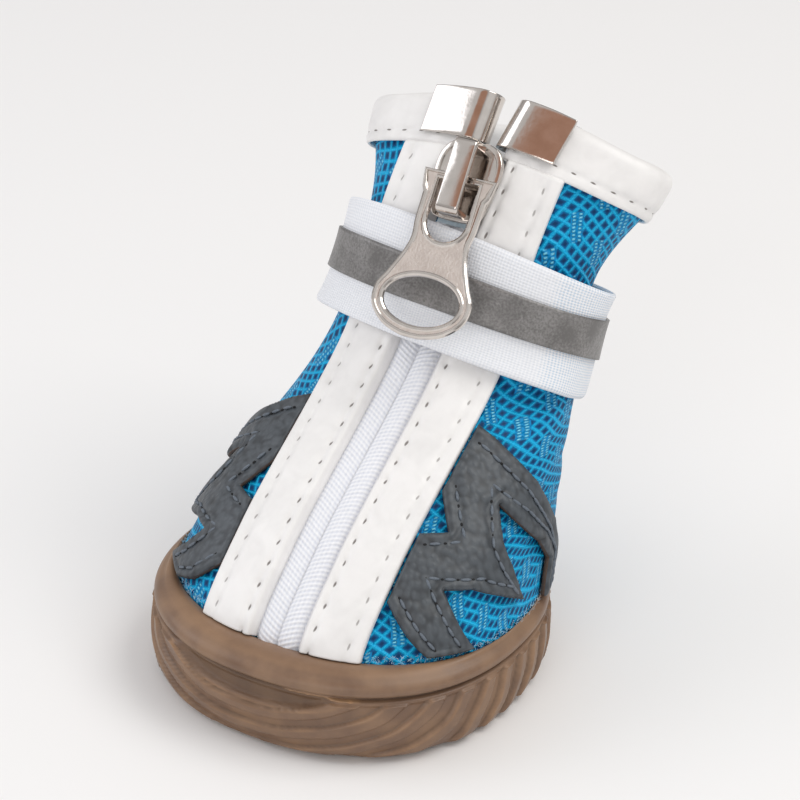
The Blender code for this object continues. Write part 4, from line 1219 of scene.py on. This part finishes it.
def makeSlider():
    # The zip's slider: shield plate with sunk wings, core between the tapes, and the crown loop
    user = {"bevel": 0.22 * mm, "wingIn": 0.45 * mm, "wingSink": 0.22 * mm, "seat": 0.45 * mm}
    halfWidth, halfLength = zipSizes["sliderWidth"] / 2, zipSizes["sliderLength"] / 2
    right = [(0.45, -1.0), (0.74, -0.88), (0.86, -0.55), (0.95, -0.1), (1.0, 0.25), (0.95, 0.6), (0.75, 0.88)]
    right += [(0.45, 1.0), (0.2, 0.98)]
    outline = [(x * halfWidth, y * halfLength) for x, y in right]
    outline = smoothOutline(outline + [(-x, y) for x, y in outline[::-1]], 72)
    plate = prism(outline, "z", plateLow, plateHigh, user["bevel"])
    topFace = max(plate.faces, key=lambda face: face.calc_center_median().z * 1000 + face.calc_area())
    bmesh.ops.inset_region(plate, faces=[topFace], thickness=user["wingIn"], depth=0.0)
    bmesh.ops.inset_region(plate, faces=[topFace], thickness=0.12 * mm, depth=-user["wingSink"])
    coreHalf, coreEnd, foot = zipSizes["chainWidth"] / 2 - gap, halfLength - 2 * gap, plateLow + user["seat"]
    core = [(-coreHalf, -coreEnd), (coreHalf, -coreEnd), (coreHalf, coreEnd), (-coreHalf, coreEnd)]
    core = prism(core, "z", -zipSizes["chainDepth"], foot, 0.1 * mm, 2)
    top, end, wide = plateHigh + zipSizes["crownHeight"], 0.96 * halfLength, zipSizes["crownWidth"] / 2
    thick = zipSizes["crownWall"]
    bend = [(thick * (1 - math.sin(a)), thick * (1 - math.cos(a))) for a in np.linspace(0, np.pi / 2, 7)]
    loop = [(-end, foot), (-end, top - thick), *((-end + b, top - a) for a, b in bend[1:])]
    loop += [*((end - a, top - b) for a, b in bend), (end, foot), (end - thick, foot)]
    loop += [(end - thick, top - thick), (-end + thick, top - thick), (-end + thick, foot)]
    crown = prism(loop, "x", -wide, wide, 0.3 * mm, 4)
    for shape in (plate, crown):
        bmesh.ops.transform(shape, matrix=sliderTwist, verts=shape.verts)
    bodies = [(plate, 0), (core, 0), (crown, 0)]
    made = gather("zipSlider", bodies, (polishedNickel,), slopeFrame(sliderLevel))
    return finishPiece(made, "nickel", "slider")


strapCourse = [
    # share, stand-off, lap, flare (1 swings the lower edge out, -1 the upper)
    (-1.0, 0.00, 0.0, 0.0), (-0.88, 0.00, 0.0, 0.0), (-0.62, 0.55, 0.0, 0.7), (-0.50, 0.75, 0.0, 1.0),
    (-0.36, 1.00, 0.0, 0.2), (-0.28, 1.00, 0.0, 0.0), (0.28, 1.00, 0.0, 0.0), (0.36, 1.00, 0.0, -0.2),
    (0.50, 0.75, 0.0, -1.0), (0.62, 0.55, 0.1, -0.7), (0.84, 0.00, 1.0, 0.0), (1.0, 0.00, 1.0, 0.0),
]  # fmt: skip


def strapOut(share, level):
    places, standOff, lap, flare = np.array(strapCourse).T
    thickness = strapSizes["thickness"]
    low, high = gap + thickness / 2, placketTop + 2 * gap + thickness / 2
    height = 2 * (level - strapSizes["bottom"]) / (strapSizes["top"] - strapSizes["bottom"]) - 1
    swing = strapSizes["flare"] * np.interp(share, places, flare)
    ends = (thickness + gap) * np.interp(share, places, lap)
    return low + (high - low) * np.interp(share, places, standOff) - height * swing + ends


def strapPoint(share, level, rise):
    # The strap's middle, raised by rise; the band hangs a little lower on the +X side
    hung = level - strapSizes["tilt"] / last["bootHeight"] * np.sin(np.pi * share)
    return offSkin(share, hung, strapOut(share, level) + rise)


def makeStrap():
    # The hook-and-loop band: thin, ribbed, its weave open enough to show some blue behind it at the sides
    user = {"columns": 420, "rows": 40}
    levels = np.linspace(strapSizes["bottom"], strapSizes["top"], user["rows"])[:, None]
    shares = np.linspace(-1 - strapSizes["lap"], 1 + strapSizes["lap"], user["columns"])[None, :] + 0 * levels
    levels = levels + 0 * shares
    up = np.interp(levels, levelTable, frontLengths)
    toEdge = np.minimum(up - up.min(), up.max() - up)
    half = strapSizes["thickness"] / 2 * (0.45 + 0.55 * edgeRound(toEdge, 0.3 * mm))
    outer, inner = strapPoint(shares, levels, half), strapPoint(shares, levels, -half)
    steps = np.linalg.norm(np.diff(skin(shares[0], 0.65 + 0 * shares[0]), axis=0), axis=1)
    around = np.concatenate(([0], np.cumsum(steps)))[None, :] + 0 * shares
    sheer = ease(0.27, 0.33, shares) * 0.6
    uv = np.stack((around, up), axis=-1) / mm
    made = slab("strapBand", outer, inner, uv, (strapWeave,), {"sheer": sheer})
    return finishPiece(made, "white_strap", "strap")


def makeStripe():
    # The reflective film along the strap
    user = {"columns": 380, "rows": 14, "thickness": 0.2 * mm, "start": 0.345, "end": 0.72}
    height = strapSizes["top"] - strapSizes["bottom"]
    ends = (strapSizes["bottom"] + user[key] * height for key in ("start", "end"))
    levels = np.linspace(*ends, user["rows"])[:, None]
    shares = np.linspace(-0.84, 1 + 0.59 * strapSizes["lap"], user["columns"])[None, :] + 0 * levels
    levels = levels + 0 * shares
    base = strapSizes["thickness"] / 2
    outer = strapPoint(shares, levels, base + gap + user["thickness"])
    inner = strapPoint(shares, levels, base + 0.02 * mm)
    uv = np.stack((shares * 60, levels * 60), axis=-1)
    made = slab("reflectiveStripe", outer, inner, uv, (reflective,))
    return finishPiece(made, "grey_film", "reflective_stripe")


pull = {  # millimetres
    "length": 21.4,
    "thickness": 1.2,
    "shoulder": 9.5,
    "waist": 7.9,
    "flare": 13.4,
    "bar": 1.2,
    "window": 5.5,
    "windowLength": 7.8,
    "holeWidth": 10.2,
    "holeHeight": 6.2,
    "rim": 0.42,
}


def lyingAngle(hinge):
    # The same rest angle as in the frame: the pull lies on the stripe and clears the slider's plate
    half = pull["thickness"] / 2 * mm
    lift = plateHigh + gap + half - hinge.z
    turns = [math.atan2(lift, zipSizes["sliderLength"] / 2)]
    inverse = slopeFrame(sliderLevel).inverted()
    for level in np.linspace(strapSizes["bottom"], strapSizes["top"], 12):
        top = float(strapOut(0.0, level)) + strapSizes["thickness"] / 2 + 2 * gap + 0.2 * mm + half
        point = inverse @ Vector(offSkin(0.0, level, top))
        down, rise = hinge.y - point.y, point.z - hinge.z
        if 0 < down < pull["length"] * mm:
            turns.append(math.atan2(rise, down))
    return max(turns)


def makePull():
    # The keyhole pull: satin plate, raised polished rims, and a step below the window
    bar, rim = pull["bar"] / 2, pull["rim"]
    ringRadius = pull["holeHeight"] / 2 + (pull["flare"] - pull["holeWidth"]) / 2
    ringY = -(pull["length"] - bar - ringRadius)
    windowEnd = -(bar + pull["windowLength"])
    shoulder, waist, flare = pull["shoulder"] / 2, pull["waist"] / 2, pull["flare"] / 2
    side = [(shoulder, bar), (shoulder, 0.16 * windowEnd), (0.97 * shoulder, 0.24 * windowEnd)]
    below = [(0.90 * shoulder, 0.31 * windowEnd), (1.06 * waist, 0.75 * windowEnd), (waist, windowEnd)]
    below += [(1.12 * waist, 1.25 * windowEnd), (0.84 * flare, ringY + 0.6 * ringRadius)]
    turns = np.radians([10, -20, -50, -75, -90])
    below += [(flare * math.cos(a), ringY + ringRadius * math.sin(a)) for a in turns]
    right = side + smoothOutline(below, 60, closed=False).tolist()
    outline = right + [(-x, y) for x, y in right[-2::-1]]
    half = pull["window"] / 2
    windowHole = [(half, -bar), (-half, -bar)]
    turns = np.linspace(np.pi, 2 * np.pi, 19)
    windowHole += [(half * math.cos(a), windowEnd + half + half * math.sin(a)) for a in turns]
    wide, high = pull["holeWidth"] / 2, pull["holeHeight"] / 2
    ringHole = [(wide * math.cos(a), ringY + high * math.sin(a)) for a in np.linspace(0, 2 * np.pi, 49)[:-1]]

    def fromLoops(name, loops, lift, **settings):
        # A curve object of closed outlines, made a mesh and raised
        shape = bpy.data.curves.new(name, "CURVE")
        for key, value in settings.items():
            setattr(shape, key, value)
        for loop in loops:
            spline = shape.splines.new("POLY")
            spline.points.add(len(loop) - 1)
            for point, (x, y) in zip(spline.points, loop):
                point.co = (x * mm, y * mm, 0, 1)
            spline.use_cyclic_u = True
        holder = makeObject(name, shape)
        graph = bpy.context.evaluated_depsgraph_get()
        mesh = bpy.data.meshes.new_from_object(holder.evaluated_get(graph))
        bpy.data.objects.remove(holder)
        body = bmesh.new()
        body.from_mesh(mesh)
        bpy.data.meshes.remove(mesh)
        bmesh.ops.remove_doubles(body, verts=body.verts, dist=0.002 * mm)
        bmesh.ops.translate(body, verts=body.verts, vec=(0, 0, lift * mm))
        bmesh.ops.recalc_face_normals(body, faces=body.faces)
        return body

    def plate(name, loops, low, high):
        flat = {"dimensions": "2D", "fill_mode": "BOTH", "extrude": (high - low) / 2 * mm}
        return fromLoops(name, loops, (low + high) / 2, **flat)

    def wire(name, loop, lift):
        return fromLoops(name, [loop], lift, dimensions="3D", bevel_depth=rim * mm, bevel_resolution=3)

    def inset(loop, amount):
        loop = np.array(loop, float)
        ahead = unit(np.roll(loop, -1, axis=0) - np.roll(loop, 1, axis=0))
        return (loop + amount * turnsInward(loop, ahead)).tolist()

    stepY = windowEnd - 0.45
    lowerOutline = [point for point in outline if point[1] < stepY]
    holes = [inset(windowHole, -0.15), inset(ringHole, -0.15)]
    bodies = [
        (plate("pullPlate", [inset(outline, 0.2), *holes], -0.42, 0.3), 1),
        (plate("pullLower", [inset(lowerOutline, 0.25), holes[1]], -0.42, 0.42), 1),
        (wire("pullEdge", inset(outline, rim), 0.08), 0),
        (wire("pullWindow", inset(windowHole, -0.3), 0.05), 0),
        (wire("pullRing", inset(ringHole, -rim * 0.9), 0.12), 0),
    ]
    hinge = Vector((0, 0, plateHigh + zipSizes["crownHeight"] / 2 - zipSizes["crownWall"] / 2))
    swung = Matrix.Rotation(-lyingAngle(hinge), 4, "X")
    matrix = slopeFrame(sliderLevel) @ sliderTwist @ Matrix.Translation(hinge) @ swung
    made = gather("pullTab", bodies, (polishedNickel, satinNickel), matrix, sharp=35)
    return finishPiece(made, "nickel", "pull_tab", body="pull")


def makeInsole():
    # A felt-covered foam sheet on the cup's floor, slightly dished
    user = {"thickness": 2.0 * mm, "columns": 96, "rings": 12}
    bottom = last["floorHeight"] + gap
    shares = np.linspace(0, 2, user["columns"], endpoint=False)
    edge = offSkin(shares, 0.0, -wall - 2 * gap + 0 * shares)
    centre = edge.mean(axis=0)
    rings = []
    section = [(1.0, 0.0), (1.0, 0.55), (0.985, 0.85), (0.96, 1.0)]
    section += [(part, 1.0 - 0.3 * ease(0.96, 0.4, part)) for part in np.linspace(0.9, 0.04, user["rings"])]
    for part, height in section:
        ring = centre + (edge - centre) * part
        ring[:, 2] = bottom + user["thickness"] * height
        rings.append(ring)
    rows, columns = len(rings), user["columns"]
    faces = gridFaces(rows, columns, around=True).tolist()
    faces += [list(range(columns))[::-1], [(rows - 1) * columns + i for i in range(columns)]]
    mesh = makeMesh("insole", np.vstack(rings), faces)
    outwards(mesh)
    return finishPiece(makeObject("feltInsole", mesh, felt), "foam", "insole")


def frayTree():
    # Short loose fibres scattered along the lines of a mesh, leaning at random
    tree = bpy.data.node_groups.new("frayedEdge", "GeometryNodeTree")
    inputs = {"Geometry": "Geometry", "Spacing": "Float", "Length": "Float", "Thickness": "Float"}
    for name, kind in {**inputs, "Fibre": "Material"}.items():
        tree.interface.new_socket(name, in_out="INPUT", socket_type=f"NodeSocket{kind}")
    tree.interface.new_socket("Geometry", in_out="OUTPUT", socket_type="NodeSocketGeometry")
    given = tree.nodes.new("NodeGroupInput").outputs
    lines = addNode(tree, "GeometryNodeMeshToCurve", {"Mesh": given["Geometry"]})
    spacing = {"Curve": lines.outputs[0], "Length": given["Spacing"]}
    spaced = addNode(tree, "GeometryNodeResampleCurve", spacing, mode="LENGTH")
    cone = {"Vertices": 4, "Radius Top": 0.2, "Radius Bottom": 1.0, "Depth": 1.0}
    fibre = addNode(tree, "GeometryNodeMeshCone", cone)
    leaning, astray = np.array((1.1, 1.1, 3.1)), np.array((0.25, 0.25, 0.25)) * mm  # radians, metres
    lean, shift = (
        addNode(tree, "FunctionNodeRandomValue", {0: -most, 1: most, "Seed": seed}, data_type="FLOAT_VECTOR")
        for most, seed in ((leaning, 4), (astray, 9))
    )
    offset = {"Geometry": spaced.outputs[0], "Offset": shift.outputs[0]}
    moved = addNode(tree, "GeometryNodeSetPosition", offset)
    long = addNode(tree, "FunctionNodeRandomValue", {2: 0.4, 3: 1.3, "Seed": 2}, data_type="FLOAT")
    length = addNode(tree, "ShaderNodeMath", (given["Length"], long.outputs[1]), operation="MULTIPLY")
    size = addNode(tree, "ShaderNodeCombineXYZ", (given["Thickness"], given["Thickness"], length.outputs[0]))
    links = {"Points": moved.outputs[0], "Instance": fibre.outputs["Mesh"], "Rotation": lean.outputs[0]}
    placed = addNode(tree, "GeometryNodeInstanceOnPoints", {**links, "Scale": size.outputs[0]})
    real = addNode(tree, "GeometryNodeRealizeInstances", {0: placed.outputs[0]})
    dyed = addNode(tree, "GeometryNodeSetMaterial", {"Geometry": real.outputs[0], "Material": given["Fibre"]})
    tree.links.new(dyed.outputs[0], tree.nodes.new("NodeGroupOutput").inputs[0])
    return tree


def makeFray():
    # Torn threads where the mesh goes down into the sole
    user = {"Spacing": 0.16 * mm, "Length": 0.5 * mm, "Thickness": 0.028 * mm}
    shares = np.linspace(0.13, 1.87, 500)
    rows = ((lipLevel + 0.004, 0.15 * mm), (lipLevel + 0.012, 0.1 * mm))
    lines = [offSkin(shares, level + 0 * shares, out + 0 * shares) for level, out in rows]
    made = runTree(frayTree(), "frayedThreads", lineMesh("fray", lines), frayed, Fibre=frayed, **user)
    return finishPiece(made, "blue_mesh")


makeOutsole()
makeInsole()
makeUpper()
print("sole and upper made")
makeChain()
for side, word in ((-1, "right"), (1, "left")):
    makeZipHalf(side, word)
    makePlacket(side, word)
    makeOverlay(side, word)
    sewOverlay(side, word)
    makeClip(side, word)
print("zip, plackets, overlays and clips made")
makeBinding()
makeStrap()
makeStripe()
makeSlider()
makePull()
makeFray()
print("collar, strap, slider and pull made")

# Floor, lights and camera
studio = {
    "photoCamera": (171.6, -322.2, 245.0),  # millimetres
    "photoAim": (-67.6, 62.3, 0.0),
    "aim": (1.5, 7.5, 33.0),
    "lens": 156.0,
    "floor": "EEEDED",
    "worldStrength": 0.7,
    # what the metal mirrors: direction, how far it reaches in degrees (inner, outer), colour, brightness
    "mirrored": [
        ((-0.45, -0.35, 0.82), (18, 40), "FFFFFF", 0.95),
        ((0.75, -0.25, 0.60), (14, 30), "FFFFFF", 1.1),
        ((0.05, -0.72, 0.69), (17, 24), "CDA08A", 1.05),
        ((-0.69, -0.48, 0.40), (10, 20), "F4F4F4", 1.0),
        ((0.0, 0.9, 0.25), (20, 45), "2E2C2B", 0.8),
    ],
}
floorMaterial, _, floorShader = newMaterial("paleFloor", Roughness=0.9)
floorShader.inputs["Base Color"].default_value = hexColour(studio["floor"])
floorMesh = bpy.data.meshes.new("floor")
floorMesh.from_pydata([(-3, -3, 0), (3, -3, 0), (3, 3, 0), (-3, 3, 0)], [], [(0, 1, 2, 3)])
floorMesh.transform(Matrix.Translation((0, 0, float(cadBox[0].z))))
makeObject("floor", floorMesh, floorMaterial)

world = bpy.data.worlds.new("studio")
bpy.context.scene.world = world
world.use_nodes = True
bpy.context.scene.view_settings.view_transform = "Standard"
sky = world.node_tree
toSky = addNode(sky, "ShaderNodeTexCoord").outputs["Generated"]
known = {"up": addNode(sky, "ShaderNodeSeparateXYZ", (toSky,)).outputs[2]}
workOut(sky, known, mirrored=("MIX", ("FADE", "up", -0.3, 0.25), "77716D", "D6D4D3"))
for direction, reach, tint, strength in studio["mirrored"]:
    aimed = (toSky, Vector(direction).normalized())
    known["facing"] = addNode(sky, "ShaderNodeVectorMath", aimed, operation="DOT_PRODUCT").outputs["Value"]
    inner, outer = (math.cos(math.radians(angle)) for angle in reach)
    shone = [channel * strength for channel in hexColour(tint)[:3]] + [1.0]
    workOut(sky, known, mirrored=("MIX", ("FADE", "facing", outer, inner), "mirrored", shone))
known["glossy"] = addNode(sky, "ShaderNodeLightPath").outputs["Is Glossy Ray"]
backdrop = formula(sky, known, "MIX", "glossy", "F5F4F3", "mirrored")
sky.links.new(backdrop, sky.nodes["Background"].inputs["Color"])
sky.nodes["Background"].inputs["Strength"].default_value = studio["worldStrength"]
for name, where, size, power, tint in (
    ("keyRight", (260, 120, 480), 0.34, 1.25, "FFFDF9"),
    ("fillLeft", (-420, -160, 300), 0.35, 0.6, "F6F8FF"),
    ("frontSoft", (60, -520, 260), 0.30, 0.55, "FFFFFF"),
):
    light = bpy.data.lights.new(name, "AREA")
    light.size, light.energy, light.color = size, power, hexColour(tint)[:3]
    lamp = bpy.data.objects.new(name, light)
    bpy.context.scene.collection.objects.link(lamp)
    lamp.location = Vector(where) * mm
    lamp.rotation_euler = (Vector((0, 5, 30)) * mm - lamp.location).to_track_quat("-Z", "Y").to_euler()

camera = bpy.data.objects.new("camera", bpy.data.cameras.new("camera"))
bpy.context.scene.collection.objects.link(camera)
bpy.context.scene.camera = camera
spot, photoAim, aim = (Vector(studio[key]) * mm for key in ("photoCamera", "photoAim", "aim"))
photoLook, look = (photoAim - spot).normalized(), (aim - spot).normalized()
# The photograph's camera, turned to the boot
turn = photoLook.rotation_difference(look) @ photoLook.to_track_quat("-Z", "Y")
camera.rotation_mode = "QUATERNION"
camera.location, camera.rotation_quaternion = spot, turn
camera.data.sensor_width, camera.data.lens = 36.0, studio["lens"]
camera.data.clip_start, camera.data.clip_end = 0.01, 20.0
